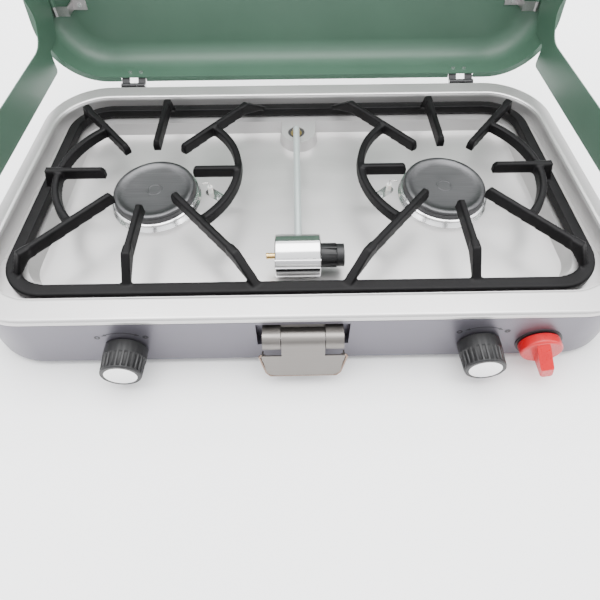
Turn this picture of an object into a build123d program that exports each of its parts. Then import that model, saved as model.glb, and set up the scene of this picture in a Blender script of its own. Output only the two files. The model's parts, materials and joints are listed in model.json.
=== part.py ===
"""Two-burner camping stove: suitcase base, cast grate, hinged lid with folding windscreens.

Millimetres. +X is to the cook's right, -Y faces the cook and +Z is up. The design frame has
its origin on the ground under the middle of the base. Everything is moved along Y at the end,
so that the written part stands on the middle of its own bounding box.
"""
from build123d import *
import math
import os

# ---------------------------------------------------------------- driving sizes
# base case
case_width = 594.0
case_depth = 332.0
case_half = case_width / 2
case_front = -case_depth / 2 - 1.0
case_back = case_front + case_depth
case_corner = 65.0
case_wall = 1.2
floor_edge_radius = 4.0
flange_width = 11.0
foot_height = 5.0
seam_height = 70.0
rim_height = 76.6
belly_rise = 3.0
belly_half_width = 63.0
belly_run = 30.0
slot_pitch = 60
slot_half = 18.0

# cooktop pan
pan_sheet = 1.0
rim_edge_radius = 3.5
well_half_width = case_half - 16.0
well_front = case_front + 24.0
well_back = case_back - 24.0
well_corner = 52.0
well_round = 5.0
ledge_height = 56.0
floor_height = 42.0
floor_half_width = well_half_width - 25.0
floor_front = well_front + 22.0
floor_back = well_back - 25.0
floor_corner = 34.0
floor_draft = 5.0
boss_y = floor_back - 19.0
boss_radius = 20.0
hose_hole_radius = 10.0
hole_y = boss_y - 2.0

# grate
grate_top = 90.0
frame_half_width = well_half_width - 11.0
frame_half_depth = (well_back - well_front) / 2 - 5.5
frame_corner = 44.0
frame_bar = 12.0
frame_bar_height = 10.5
finger_top_width = 6.0
finger_base_width = 8.0
finger_height = 12.0
finger_tip_radius = 45.0
bevel = 1.0
ring_radius = 91.0
ring_bar = 8.5
back_finger_angle = 49.4
front_finger_angle = 48.4
diagonal_fall = 22.0
back_fall = 12.5
front_fall = 22.0
corner_fall = 12.0
foot_overlap = 3.0
side_reach = 104.0
frame_foot_radius = 3.0
frame_foot_inset = 30.0

# burners
burner_x = frame_half_width - 116.0
burner_cap_radius = 42.5
burner_rim_radius = burner_cap_radius + 4.5
burner_neck_radius = burner_cap_radius - 0.5
burner_throat_radius = burner_cap_radius - 12.5
mixer_radius = 9.5
mixer_height = 26.0
port_count = 30
port_radius = 0.9
insulator_radius = 2.8
electrode_radius = 0.9
electrode_dx = -burner_rim_radius - 9.5
electrode_dy = 10.0
bracket_screw_dx = electrode_dx - 10.0
bracket_screw_dy = 2.0
bracket_sheet = 1.2
bracket_width = 11.0

# controls
control_height = 30.5
knob_radius = 18.5
knob_length = 24.5
knob_gap = 1.0
knob_flutes = 20
disc_radius = knob_radius - 4.5
disc_depth = 1.2
stem_radius = 4.0
stem_socket = 16.0
igniter_x = burner_x + 53.0
igniter_height = 30.5
igniter_radius = 18.0
bezel_depth = 0.8
fin_turn = 14.0
fin_width = 11.0
fin_length = 24.0
drum_length = 9.0

# gas path
regulator_x = -3.3
regulator_y = -burner_rim_radius - 47.0
regulator_radius = 20.0
regulator_length = 41.5
regulator_height = floor_height + regulator_radius + 1.5
tube_radius = 3.6
tube_x = -2.7
pipe_radius = 4.0
inlet_pin_radius = 3.0
dust_cap_neck = 8.0
dust_cap_ribs = 12
fitting_low = 30.0
collar_radius = 6.5
branch_radius = 5.5
ball_radius = 4.6
ball_z = ledge_height + 2.5
supply_radius = 3.0
supply_bore = 2.0
seat_bore = 1.8
branch_bore = 1.2
lead_radius = 1.2

# lid
lid_half_width = case_half + 18.0
lid_length = case_depth + 14.0
lid_corner = 75.0
lid_lip = 5.0
lid_hem = 4.0
lid_sheet = 1.2
lid_depth = 50.0
lid_back_round = 27.0
lid_gap = 1.2
open_angle = 97.5
pivot_y = case_back + 8.0
pivot_height = 72.0
hinge_x = case_half - 88.0
hinge_width = 30.0
knuckle_radius = 3.2
hinge_pin_radius = 1.5
leaf_sheet = 1.2
leaf_low = 48.0
leaf_foot = 14.0
knuckle_gap = 0.3
rivet_spread = 7.0

# windscreens
screen_half_span = case_half + 2.6
screen_sheet = 1.2
screen_axis_y = pivot_y + lid_depth - 1.0
screen_axis_x = screen_half_span - 2.4
screen_rod_radius = 1.5
screen_roll_radius = 3.0
screen_reach = case_depth - 47.0
screen_arm_height = 44.0
screen_top = 160.0
screen_clearance = 1.2
clip_half = 6.0
clip_sheet = 1.4
clip_setback = 17.0

# latch
latch_pivot_y = case_front - 4.5
latch_pivot_height = 51.5
latch_half_width = 35.0
latch_sheet = 1.2
tongue_half = 18.2
plate_lean = 12.0
plate_low = 37.0
plate_face_y = -8.0
shoulder_drop = 11.5
bracket_half = 34.0
bracket_plate = 1.4
ear_inner = 18.8
ear_radius = 9.0
latch_pin_radius = 2.0
pocket_half_width = 39.5
pocket_depth = 9.0
pocket_top = 66.5
pocket_bottom = 33.0
bail_radius = 1.1
bail_drop = 15.0
bail_bend = 1.8

# feet and fasteners
foot_radius = 11.0
foot_inset_x = 62.0
foot_inset_y = 50.0
foot_screw_radius = 2.0
foot_head_radius = 3.8
foot_head_low = 1.5
foot_head_high = 4.0
pan_screw_radius = 1.7
pan_screw_head = 3.2
bracket_screw_radius = 1.6
bracket_screw_head = 3.0
rivet_head_radius = 2.6
rivet_head_height = 1.1

# fits and gaps
running_fit = 0.05
screw_gap = 0.2
body_gap = 0.4
seam_gap = 0.6
reach_past = 1.0

parts = {}


# ---------------------------------------------------------------- helpers
def keep(name, *shapes):
    """Stores one node, as one solid or as a group of separate solids."""
    parts[name] = shapes[0] if len(shapes) == 1 else Compound(children=list(shapes))


def plate(half_width, front, back, corner, bottom, top):
    """A vertical prism with a rounded rectangular plan."""
    outline = RectangleRounded(2 * half_width, back - front, corner)
    return Pos(0, (front + back) / 2, bottom) * extrude(outline, top - bottom)


def bar(radius, length):
    """A round bar standing on the origin."""
    return Cylinder(radius, length, align=(Align.CENTER, Align.CENTER, Align.MIN))


def along_y(radius, x, z, y_from, y_to):
    """A round bar parallel to Y."""
    return Pos(x, y_from, z) * Rot(-90, 0, 0) * bar(radius, y_to - y_from)


def along_x(radius, y, z, x_from, x_to):
    """A round bar parallel to X."""
    return Pos(x_from, y, z) * Rot(0, 90, 0) * bar(radius, x_to - x_from)


def along_z(radius, x, y, z_from, z_to):
    """A round bar parallel to Z."""
    return Pos(x, y, z_from) * bar(radius, z_to - z_from)


def block(x_from, x_to, y_from, y_to, z_from, z_to):
    """A box between two corners."""
    size = (x_to - x_from, y_to - y_from, z_to - z_from)
    return Pos(x_from, y_from, z_from) * Box(*size, align=(Align.MIN, Align.MIN, Align.MIN))


def yz_prism(points, x_from, x_to):
    """A prism along X whose section is given as (y, z) points."""
    face = make_face(Polyline(*[(0, y, z) for y, z in points], close=True))
    return Pos(x_from, 0, 0) * extrude(face, x_to - x_from, dir=(1, 0, 0))


def rounded_outline(corners):
    """A flat polygon given as (u, v, corner radius), with a radius of 0 for a sharp corner."""
    outline = make_face(Polyline(*[(u, v) for u, v, radius in corners], close=True))
    for u, v, radius in corners:
        if radius > 0:
            nearest = outline.vertices().sort_by(lambda p: math.hypot(p.X - u, p.Y - v))[0]
            outline = fillet(nearest, radius)
    return outline


def lathe_z(points, x, y):
    """A ring or disc turned about a vertical axis, from (radius, z) points."""
    face = make_face(Polyline(*[(r, 0, z) for r, z in points], close=True))
    return Pos(x, y, 0) * revolve(face, Axis.Z)


def pipe_run(points, radius, bend, bore=0.0):
    """A round rod or pipe along straight runs with rounded corners."""
    path = FilletPolyline(*points, radius=bend)
    start = Plane(origin=path @ 0, z_dir=path % 0)
    section = Circle(radius)
    if bore > 0:
        section -= Circle(bore)
    return sweep(start * section, path)


def mirrored(shape):
    """The same shape on the other side of the middle plane."""
    return mirror(shape, about=Plane.YZ)


def opened(shape):
    """Turns a piece built on the closed lid back to the open pose."""
    return Pos(0, pivot_y, pivot_height) * Rot(-open_angle, 0, 0) * Pos(0, -pivot_y, -pivot_height) * shape


# ---------------------------------------------------------------- base case
bottom_edge = foot_height
pan_skirt_bottom = seam_height + seam_gap
rib_inset = pan_sheet + rim_edge_radius


def build_case():
    """The case: a closed tray with a flange and a rib under the pan."""
    outer = plate(case_half, case_front, case_back, case_corner, bottom_edge, seam_height)
    outer = fillet(outer.faces().sort_by(Axis.Z)[0].edges(), floor_edge_radius)
    inner = plate(
        case_half - case_wall,
        case_front + case_wall,
        case_back - case_wall,
        case_corner - case_wall,
        bottom_edge + case_wall,
        seam_height,
    )
    inner = fillet(inner.faces().sort_by(Axis.Z)[0].edges(), floor_edge_radius - case_wall)
    shell = outer - inner
    flange_outer = plate(case_half - 0.5, case_front + 0.5, case_back - 0.5, case_corner - 0.5,
                         seam_height - case_wall, seam_height)
    flange_inner = plate(case_half - flange_width, case_front + flange_width, case_back - flange_width,
                         case_corner - flange_width, seam_height - 2 * case_wall, seam_height + case_wall)
    shell += flange_outer - flange_inner
    # upright rib that carries the cooktop pan
    rib = plate(case_half - rib_inset, case_front + rib_inset, case_back - rib_inset, case_corner - rib_inset,
                seam_height - case_wall, rim_height - pan_sheet)
    inside = rib_inset + case_wall
    rib -= plate(case_half - inside, case_front + inside, case_back - inside, case_corner - inside,
                 seam_height - 2 * case_wall, rim_height)
    shell += rib
    # raised middle of the front's lower edge, lined so that the case stays closed
    run = case_front + belly_run
    cut = yz_prism([(case_front - 1, bottom_edge - 1), (run, bottom_edge - 1), (run, bottom_edge),
                    (case_front - 1, bottom_edge + belly_rise)], -belly_half_width, belly_half_width)
    liner = yz_prism([(case_front, bottom_edge), (run, bottom_edge), (run, bottom_edge + case_wall),
                      (case_front, bottom_edge + belly_rise + case_wall)],
                     -belly_half_width - case_wall, belly_half_width + case_wall)
    shell = shell + (liner & outer) - cut
    # recessed pocket behind the latch
    pocket = block(-pocket_half_width, pocket_half_width, case_front - 1, case_front + pocket_depth,
                   pocket_bottom, pocket_top)
    liner = block(-pocket_half_width - case_wall, pocket_half_width + case_wall, case_front,
                  case_front + pocket_depth + case_wall, pocket_bottom - case_wall, pocket_top + case_wall)
    shell = shell + liner - pocket
    for x in (-burner_x, burner_x):
        shell -= along_y(stem_radius + 2.0, x, control_height, case_front - 5, case_front + 5)
    shell -= along_y(igniter_radius - 5.0, igniter_x, igniter_height, case_front - 5, case_front + 5)
    # air slots at the back, below the lid hinge
    for step in (-2.5, -1.5, -0.5, 0.5, 1.5, 2.5):
        x = step * slot_pitch
        shell -= block(x - slot_half, x + slot_half, case_back - 3, case_back + 3, 24, 28)
    # screw holes for the feet
    for x, y in foot_places():
        shell -= along_z(foot_screw_radius + screw_gap, x, y, bottom_edge - 2, bottom_edge + 4)
    return shell


def foot_places():
    """Plan position of the four feet."""
    xs = (-case_half + foot_inset_x, case_half - foot_inset_x)
    ys = (case_front + foot_inset_y, case_back - foot_inset_y)
    return [(x, y) for x in xs for y in ys]


keep("base_case", build_case())


def build_foot(x, y):
    """A tapered rubber foot with a counterbore for its screw."""
    bore = foot_screw_radius + screw_gap
    foot = lathe_z([(bore, 0.0), (foot_radius - 2.0, 0.0), (foot_radius, foot_height),
                    (bore, foot_height)], x, y)
    return foot - along_z(foot_head_radius + body_gap, x, y, 0, foot_head_high)


def build_foot_screw(x, y):
    """A pan-head screw and its nut inside the case."""
    floor = foot_height + case_wall
    shank = along_z(foot_screw_radius, x, y, foot_head_high, floor)
    head = along_z(foot_head_radius, x, y, foot_head_low, foot_head_high)
    nut = Pos(x, y, floor) * extrude(RegularPolygon(foot_head_radius, 6), 3.0)
    return shank + head + nut


keep("rubber_feet", *[build_foot(x, y) for x, y in foot_places()])
keep("foot_screws", *[build_foot_screw(x, y) for x, y in foot_places()])


# ---------------------------------------------------------------- cooktop pan
def well_form(grow):
    """The hollow of the well: an upper part down to the ledge, and a drafted floor part."""
    upper = plate(well_half_width + grow, well_front - grow, well_back + grow, well_corner + grow,
                  ledge_height - grow, rim_height + 20)
    floor_outline = RectangleRounded(
        2 * (floor_half_width + grow), floor_back - floor_front + 2 * grow, floor_corner + grow)
    floor_plane = Pos(0, (floor_front + floor_back) / 2, ledge_height - grow)
    draft = math.degrees(math.atan(floor_draft / (ledge_height - floor_height)))
    lower = floor_plane * extrude(
        floor_outline, ledge_height - floor_height, dir=(0, 0, -1), taper=draft)
    landing = Circle(boss_radius - grow) + Pos(0, 20) * Rectangle(2 * (boss_radius - grow), 40)
    boss = Pos(0, boss_y, ledge_height - grow) * extrude(
        landing, ledge_height - floor_height, dir=(0, 0, -1), taper=-10)
    return upper + (lower - boss)


def build_pan():
    """The pressed pan: rim, skirt, ledge, sloping well and landing, with its holes."""
    sheet_bottom = floor_height - pan_sheet
    over = plate(case_half, case_front, case_back, case_corner, sheet_bottom, rim_height)
    over = fillet(over.faces().sort_by(Axis.Z)[-1].edges(), rim_edge_radius)
    under = plate(case_half - pan_sheet, case_front + pan_sheet, case_back - pan_sheet,
                  case_corner - pan_sheet, sheet_bottom - 1, rim_height - pan_sheet)
    under = fillet(under.faces().sort_by(Axis.Z)[-1].edges(), rim_edge_radius - pan_sheet)
    hollow = well_form(0.0)
    shell = well_form(pan_sheet)
    below = plate(case_half + 1, case_front - 1, case_back + 1, case_corner, sheet_bottom - 1,
                  pan_skirt_bottom)
    pan = (over - hollow) - (under - shell) - (below - shell)
    rim_inner = [e for e in pan.edges().filter_by_position(Axis.Z, rim_height - 0.01, rim_height + 0.01)
                 if abs(e.center().Y) < well_back + 1 and e.bounding_box().max.X < well_half_width + 1]
    pan = fillet(rim_inner, well_round - 0.5)
    pan -= along_z(hose_hole_radius, tube_x, hole_y, sheet_bottom - 1, rim_height)
    for side in (-1, 1):
        pan -= along_z(burner_throat_radius + body_gap, side * burner_x, 0, sheet_bottom - 1, rim_height)
        for dx, dy, radius in bracket_holes:
            pan -= along_z(radius, side * (burner_x + dx), dy, sheet_bottom - 1, rim_height)
    for x, y in pan_screw_places:
        pan -= along_z(pan_screw_radius + screw_gap, x, y, ledge_height - 5, rim_height)
    return pan


bracket_holes = [
    (electrode_dx, electrode_dy, insulator_radius + 0.8),
    (bracket_screw_dx, bracket_screw_dy, bracket_screw_radius + screw_gap),
]
pan_screw_x = (well_half_width + floor_half_width) / 2 - 3.0
pan_screw_places = [(x, y) for x in (-pan_screw_x, pan_screw_x) for y in (-60.0, 60.0)]
keep("cooktop_pan", build_pan())


def build_pan_screw(x, y):
    """A low-headed screw through the ledge of the pan."""
    head = along_z(pan_screw_head, x, y, ledge_height, ledge_height + 1.4)
    return head + along_z(pan_screw_radius, x, y, ledge_height - 8, ledge_height)


def build_bracket_screw(x, y):
    """A slotted screw through the electrode bracket and the floor of the pan."""
    shank = along_z(bracket_screw_radius, x, y, floor_height - 7, floor_height + bracket_sheet)
    seat = floor_height + bracket_sheet
    head = along_z(bracket_screw_head, x, y, seat, seat + 1.8)
    slot = block(x - bracket_screw_head, x + bracket_screw_head, y - 0.4, y + 0.4, seat + 1.0, seat + 3.0)
    return shank + head - slot


keep("pan_screws",
     *[build_pan_screw(x, y) for x, y in pan_screw_places],
     *[build_bracket_screw(side * (burner_x + bracket_screw_dx), bracket_screw_dy) for side in (-1, 1)])


# ---------------------------------------------------------------- grate
frame_bottom = ledge_height + 2.0
frame_top = frame_bottom + frame_bar_height


def tapered_bar(length, top_width, base_width, height):
    """A cast bar along +X from the origin, wide at the base, with a bevelled free end at x = 0."""
    section = make_face(Polyline(
        (0, -base_width / 2, -height), (0, base_width / 2, -height), (0, top_width / 2, -bevel),
        (0, top_width / 2 - bevel, 0), (0, -top_width / 2 + bevel, 0), (0, -top_width / 2, -bevel),
        close=True))
    straight = extrude(section, length, dir=(1, 0, 0))
    nose = make_face(Polyline((-1, 0, 1), (3.0, 0, 1), (-1, 0, -6), close=True))
    return straight - Pos(0, base_width, 0) * extrude(nose, 2 * base_width, dir=(0, -1, 0))


def finger(x, y, angle, start, reach, leg):
    """A pan support pointing at the burner, with a sloping leg down to the frame."""
    length = reach - start
    shape = tapered_bar(length, finger_top_width, finger_base_width, finger_height)
    if leg > 0:
        low = frame_top - grate_top - 3
        side = make_face(Polyline(
            (length - 10, 0, -0.8), (length, 0, 0), (length + leg, 0, low),
            (length + leg - 4, 0, low), (length - 6, 0, -finger_height), close=True))
        shape += Pos(0, finger_base_width / 2, 0) * extrude(side, finger_base_width, dir=(0, -1, 0))
    return Pos(x, y, grate_top) * Rot(0, 0, angle) * Pos(start, 0, 0) * shape


def ring_arc(x, low, high):
    """A stretch of the support ring between two angles about a burner."""
    top = grate_top - 1.5
    foot = top - finger_height + 1
    near = ring_radius - ring_bar / 2
    far = ring_radius + ring_bar / 2
    section = make_face(Polyline(
        (near, 0, foot), (far, 0, foot), (far - bevel, 0, top), (near + bevel, 0, top), close=True))
    return Pos(x, 0, 0) * Rot(0, 0, low) * revolve(section, Axis.Z, revolution_arc=high - low)


to_side = frame_half_width - frame_bar / 2 - burner_x
to_bar = frame_half_depth - frame_bar / 2


def corner_end(slope_x, slope_y):
    """Distance from the burner, along a diagonal, to the middle of the bar in the frame's corner."""
    dx = frame_half_width - frame_corner - burner_x
    dy = frame_half_depth - frame_corner
    along = dx * slope_x + dy * slope_y
    return along + math.sqrt(along ** 2 - dx ** 2 - dy ** 2 + (frame_corner - frame_bar / 2) ** 2)


def diagonal(angle):
    """A diagonal finger of the right-hand burner, ended short of the front or back bar."""
    slope_y = abs(math.sin(math.radians(angle)))
    end = (to_bar + foot_overlap) / slope_y
    leg = (diagonal_fall + foot_overlap) / slope_y
    if abs(angle) < 90:
        end = min(end, corner_end(math.cos(math.radians(angle)), slope_y))
        leg = corner_fall
    return finger(burner_x, 0, angle, finger_tip_radius, end - leg, leg)


def build_grate_frame():
    """The rectangular ring with its four feet and the fingers square to its long bars."""
    outer = plate(frame_half_width, -frame_half_depth, frame_half_depth, frame_corner, frame_bottom,
                  frame_top)
    outer = chamfer(outer.faces().sort_by(Axis.Z)[-1].edges(), 1.5 * bevel)
    inner = plate(frame_half_width - frame_bar, frame_bar - frame_half_depth, frame_half_depth - frame_bar,
                  frame_corner - frame_bar, frame_bottom - 1, frame_top + 1)
    ring = outer - inner
    for x in (-frame_half_width + frame_foot_inset, frame_half_width - frame_foot_inset):
        for y in (-to_bar, to_bar):
            ring += along_z(frame_foot_radius, x, y, ledge_height, frame_bottom + 1)
    back = finger(burner_x, 0, 90, finger_tip_radius - 5, to_bar - back_fall, back_fall)
    front = finger(burner_x, 0, -90, finger_tip_radius + 3, to_bar - front_fall, front_fall)
    return ring + back + front + mirrored(back) + mirrored(front)


def build_outer_supports():
    """The right-hand burner's outer three fingers, tied by an arc."""
    supports = ring_arc(burner_x, -front_finger_angle, back_finger_angle)
    supports += finger(burner_x, 0, 0, finger_tip_radius, side_reach, to_side - side_reach)
    return supports + diagonal(back_finger_angle) + diagonal(-front_finger_angle)


def build_inner_supports():
    """The right-hand burner's inner three fingers, tied by an arc."""
    supports = ring_arc(burner_x, 180 - back_finger_angle, 180 + front_finger_angle)
    supports += finger(burner_x, 0, 180, finger_tip_radius, ring_radius, 0)
    return supports + diagonal(180 - back_finger_angle) + diagonal(180 + front_finger_angle)


grate_frame = build_grate_frame()
outer_supports = build_outer_supports() - grate_frame
inner_supports = build_inner_supports() - grate_frame
keep("grate_frame", grate_frame)
keep("grate_outer_supports_right", outer_supports)
keep("grate_outer_supports_left", mirrored(outer_supports))
keep("grate_inner_supports_right", inner_supports)
keep("grate_inner_supports_left", mirrored(inner_supports))


# ---------------------------------------------------------------- burners
neck_low = floor_height + 4.5
neck_high = neck_low + 3.5
port_low = neck_high + 1.8
port_high = port_low + 5.5
cap_high = port_high + 3.5
mixer_start = case_front + 32.0


def build_burner(side):
    """The cup under the pan with its mixing tube."""
    x = side * burner_x
    cup = lathe_z([(0, mixer_height - 6), (16, mixer_height - 6), (burner_throat_radius, floor_height - 3),
                   (burner_throat_radius, floor_height + 2), (burner_throat_radius, neck_low),
                   (burner_throat_radius - 2, neck_low), (burner_throat_radius - 2, floor_height - 2),
                   (14, mixer_height - 4), (0, mixer_height - 4)], x, 0)
    tube = along_y(mixer_radius, x, mixer_height, mixer_start, -14)
    bore = along_y(mixer_radius - 1.5, x, mixer_height, mixer_start - 1, -10)
    return (cup + tube) - bore


def build_base_ring(x):
    """The bright ring that seats the burner on the pan."""
    inside = burner_throat_radius + body_gap
    return lathe_z([(inside, floor_height), (burner_rim_radius, floor_height),
                    (burner_rim_radius, floor_height + 1.5), (burner_neck_radius + 1, neck_low),
                    (inside, neck_low)], x, 0)


def build_port_ring(x):
    """The flame ring: a neck, a bright lip and a band of ports."""
    lip = burner_rim_radius - 1.5
    band = burner_cap_radius + 1.5
    ring = lathe_z([(burner_throat_radius - 6, neck_low), (burner_neck_radius, neck_low),
                    (burner_neck_radius, neck_high), (lip, neck_high), (lip, port_low),
                    (band, port_low + 0.4),
                    (band, port_high), (burner_throat_radius - 6, port_high)], 0, 0)
    mid = (port_low + port_high) / 2
    step = 360.0 / port_count
    port = along_x(port_radius, 0, mid, burner_throat_radius - 8, lip)
    ports = [Rot(0, 0, step * i) * port for i in range(port_count)]
    return Pos(x, 0, 0) * (ring - Compound(children=ports))


def build_cap(x):
    """The dished cap that closes the burner."""
    inside = burner_throat_radius - 7
    return lathe_z([(inside, port_high), (burner_cap_radius, port_high), (burner_cap_radius, port_high + 1.5),
                    (burner_cap_radius - 2, cap_high), (burner_cap_radius - 5, cap_high - 0.4),
                    (burner_cap_radius - 12, cap_high - 2.0), (0, cap_high - 2.4), (0, port_high + 0.4),
                    (inside, port_high + 0.4)], x, 0)


def build_insulator(side):
    """The ceramic tube round a spark wire."""
    x = side * (burner_x + electrode_dx)
    tube = along_z(insulator_radius, x, electrode_dy, floor_height - 12, floor_height + 9)
    return tube - along_z(electrode_radius, x, electrode_dy, floor_height - 13, floor_height + 10)


def build_electrode(side):
    """The spark wire, bent over towards the port ring."""
    x = side * (burner_x + electrode_dx)
    tip = side * (burner_x + electrode_dx + 7.0)
    return pipe_run([(x, electrode_dy, lead_top), (x, electrode_dy, floor_height + 15),
                     (tip, electrode_dy - 3, floor_height + 17.0)], electrode_radius - running_fit, 1.6)


def build_bracket(side):
    """The strap that clamps the insulator to the pan."""
    x = side * (burner_x + electrode_dx)
    screw_x = side * (burner_x + bracket_screw_dx)
    span = math.hypot(x - screw_x, electrode_dy - bracket_screw_dy)
    turn = math.degrees(math.atan2(electrode_dy - bracket_screw_dy, x - screw_x))
    middle = Pos((x + screw_x) / 2, (electrode_dy + bracket_screw_dy) / 2, floor_height)
    strap = middle * Rot(0, 0, turn) * extrude(SlotCenterToCenter(span, bracket_width), bracket_sheet)
    strap -= along_z(insulator_radius + running_fit, x, electrode_dy, floor_height - 1, floor_height + 3)
    return strap - along_z(bracket_screw_radius + screw_gap, screw_x, bracket_screw_dy, floor_height - 1,
                           floor_height + 3)


lead_top = floor_height - 14
for side, name in ((-1, "left"), (1, "right")):
    keep("burner_body_" + name, build_burner(side))
    keep("burner_base_ring_" + name, build_base_ring(side * burner_x))
    keep("burner_port_ring_" + name, build_port_ring(side * burner_x))
    keep("burner_cap_" + name, build_cap(side * burner_x))
keep("electrode_insulators", build_insulator(-1), build_insulator(1))
keep("electrode_wires", build_electrode(-1), build_electrode(1))
keep("electrode_brackets", build_bracket(-1), build_bracket(1))


# ---------------------------------------------------------------- valves and controls
valve_front = case_front + case_wall + 1.5
valve_back = valve_front + 20.0
jet_end = mixer_start - 1.5
manifold_y = valve_front + 14.0
manifold_z = control_height + 17.0


def build_valve(side):
    """A gas valve with the saddle that hangs on the manifold."""
    x = side * burner_x
    body = block(x - 9, x + 9, valve_front, valve_back, control_height - 9, control_height + 12)
    saddle = block(x - 8, x + 8, manifold_y - 7, manifold_y + 6, control_height + 11, manifold_z + 1)
    body += saddle
    body -= along_x(pipe_radius, manifold_y, manifold_z, x - 20, x + 20)
    body -= along_y(stem_radius + running_fit, x, control_height, valve_front - 1, valve_front + 14)
    return body


def build_jet(side):
    """The jet that blows gas into the mixing tube."""
    x = side * burner_x
    nozzle = along_y(4.0, x, mixer_height, valve_back, jet_end - 2)
    nozzle += along_y(2.0, x, mixer_height, jet_end - 2, jet_end)
    return nozzle - along_y(0.6, x, mixer_height, valve_back + 2, jet_end + 1)


def fluted(radius, length, count, depth):
    """A round grip along Z with shallow flutes cut along its side."""
    grip = bar(radius, length)
    grip = chamfer(grip.faces().sort_by(Axis.Z)[-1].edges(), 1.0)
    cutter = Pos(radius + 1.6, 0, length * 0.38) * bar(1.6 + depth, length)
    return grip - Compound(children=[Rot(0, 0, 360.0 / count * i) * cutter for i in range(count)])


knob_back = case_front - knob_gap


def build_knob():
    """A fluted gas knob with a seat for its disc and a bore for its stem."""
    grip = fluted(knob_radius, knob_length, knob_flutes, 0.7)
    grip -= Pos(0, 0, knob_length - disc_depth) * bar(disc_radius, disc_depth + reach_past)
    return grip - bar(stem_radius, stem_socket)


def facing_cook(shape, x, z):
    """Turns a piece built along Z so that it points at the cook."""
    return Pos(x, knob_back, z) * Rot(90, 0, 0) * shape


for side, name in ((-1, "left"), (1, "right")):
    x = side * burner_x
    keep("gas_valve_" + name, build_valve(side))
    stem = along_y(stem_radius, x, control_height, knob_back - stem_socket, valve_front + 13)
    keep("valve_stem_" + name, stem)
    keep("knob_" + name, facing_cook(build_knob(), x, control_height))
    disc = Pos(0, 0, knob_length - disc_depth) * bar(disc_radius - running_fit, disc_depth)
    keep("knob_disc_" + name, facing_cook(disc, x, control_height))

keep("gas_jets", build_jet(-1), build_jet(1))

igniter_bezel = along_y(igniter_radius + 2.0, igniter_x, igniter_height, case_front - bezel_depth, case_front)
igniter_bezel -= along_y(stem_radius + 1.0, igniter_x, igniter_height, case_front - 5, case_front + 1)
keep("igniter_bezel", igniter_bezel)


def build_igniter_knob():
    """The red knob: a low drum with a tall fin across it."""
    base = bar(igniter_radius, drum_length)
    base = fillet(base.faces().sort_by(Axis.Z)[-1].edges(), 2.5)
    fin_outline = Rectangle(fin_width, 2 * igniter_radius - 3.0)
    fin = extrude(fin_outline, fin_length)
    fin = fillet(fin.edges().filter_by(Axis.Z), 3.5)
    tip = igniter_radius
    slant = yz_prism([(-4.0, fin_length + 1), (tip, drum_length - 3.0), (tip, fin_length + 1)], -tip, tip)
    fin = fillet((fin - slant).faces().sort_by(Axis.Z)[-1].edges(), 1.5)
    return (base + fin) - bar(stem_radius, 6.0)


igniter_knob = facing_cook(Rot(0, 0, fin_turn) * build_igniter_knob(), igniter_x, igniter_height)
keep("igniter_knob", Pos(0, -bezel_depth, 0) * igniter_knob)
piezo_front = case_front + case_wall + 1.0
igniter_socket = knob_back - bezel_depth - 6.0
keep("igniter_stem", along_y(stem_radius, igniter_x, igniter_height, igniter_socket, piezo_front + 12))
piezo = along_y(9.0, igniter_x, igniter_height, piezo_front, piezo_front + 42)
piezo -= along_y(stem_radius + running_fit, igniter_x, igniter_height, piezo_front - 1, piezo_front + 13)
keep("piezo_igniter", piezo)


# ---------------------------------------------------------------- gas inlet and regulator
collar_high = ball_z - 3.2
supply_z = fitting_low + 6
arm_z = ball_z + 5.5
arm_start = hole_y - 14


def build_inlet_elbow():
    """The fixed fitting: a conical seat for the swivel ball above, and a branch to the supply pipe."""
    apex = ball_z - math.sqrt(2) * (ball_radius + running_fit)
    elbow = along_z(collar_radius, tube_x, hole_y, fitting_low, collar_high)
    elbow += along_y(branch_radius, tube_x, supply_z, arm_start, hole_y)
    above = collar_high + 1
    elbow -= lathe_z([(0, supply_z - 3), (seat_bore, supply_z - 3), (seat_bore, apex + seat_bore),
                      (above - apex, above), (0, above)], tube_x, hole_y)
    return elbow - along_y(branch_bore, tube_x, supply_z, arm_start - 1, hole_y - 0.5)


keep("inlet_elbow", build_inlet_elbow())
supply = pipe_run([
    (tube_x, arm_start, supply_z), (tube_x, -60.0, supply_z), (tube_x, manifold_y + 24, manifold_z - 18),
    (tube_x, manifold_y + 12, manifold_z - 8), (tube_x, manifold_y, manifold_z - 1)],
    supply_radius, 5.0, supply_bore)
manifold_bar = along_x(pipe_radius, manifold_y, manifold_z, -burner_x - 20, burner_x + 20)
manifold_bore = along_x(pipe_radius - 1, manifold_y, manifold_z, -burner_x - 18, burner_x + 18)
keep("supply_pipe", supply - manifold_bar)
keep("gas_manifold", manifold_bar - manifold_bore)
o_ring_low = ledge_height - pan_sheet - 3.0
keep("inlet_o_ring", lathe_z([
    (collar_radius, o_ring_low), (hose_hole_radius + 2, o_ring_low),
    (hose_hole_radius + 2, ledge_height - pan_sheet), (collar_radius, ledge_height - pan_sheet)],
    tube_x, hole_y))

swivel_ball = Pos(tube_x, hole_y, ball_z) * Sphere(ball_radius)
keep("swivel_ball", swivel_ball)
arm = pipe_run([
    (tube_x, hole_y, ball_z), (tube_x, hole_y, arm_z),
    (tube_x, regulator_y + regulator_radius - 2.0, arm_z)], tube_radius, arm_z - ball_z - 0.5)
keep("regulator_tube", arm - swivel_ball)

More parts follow.
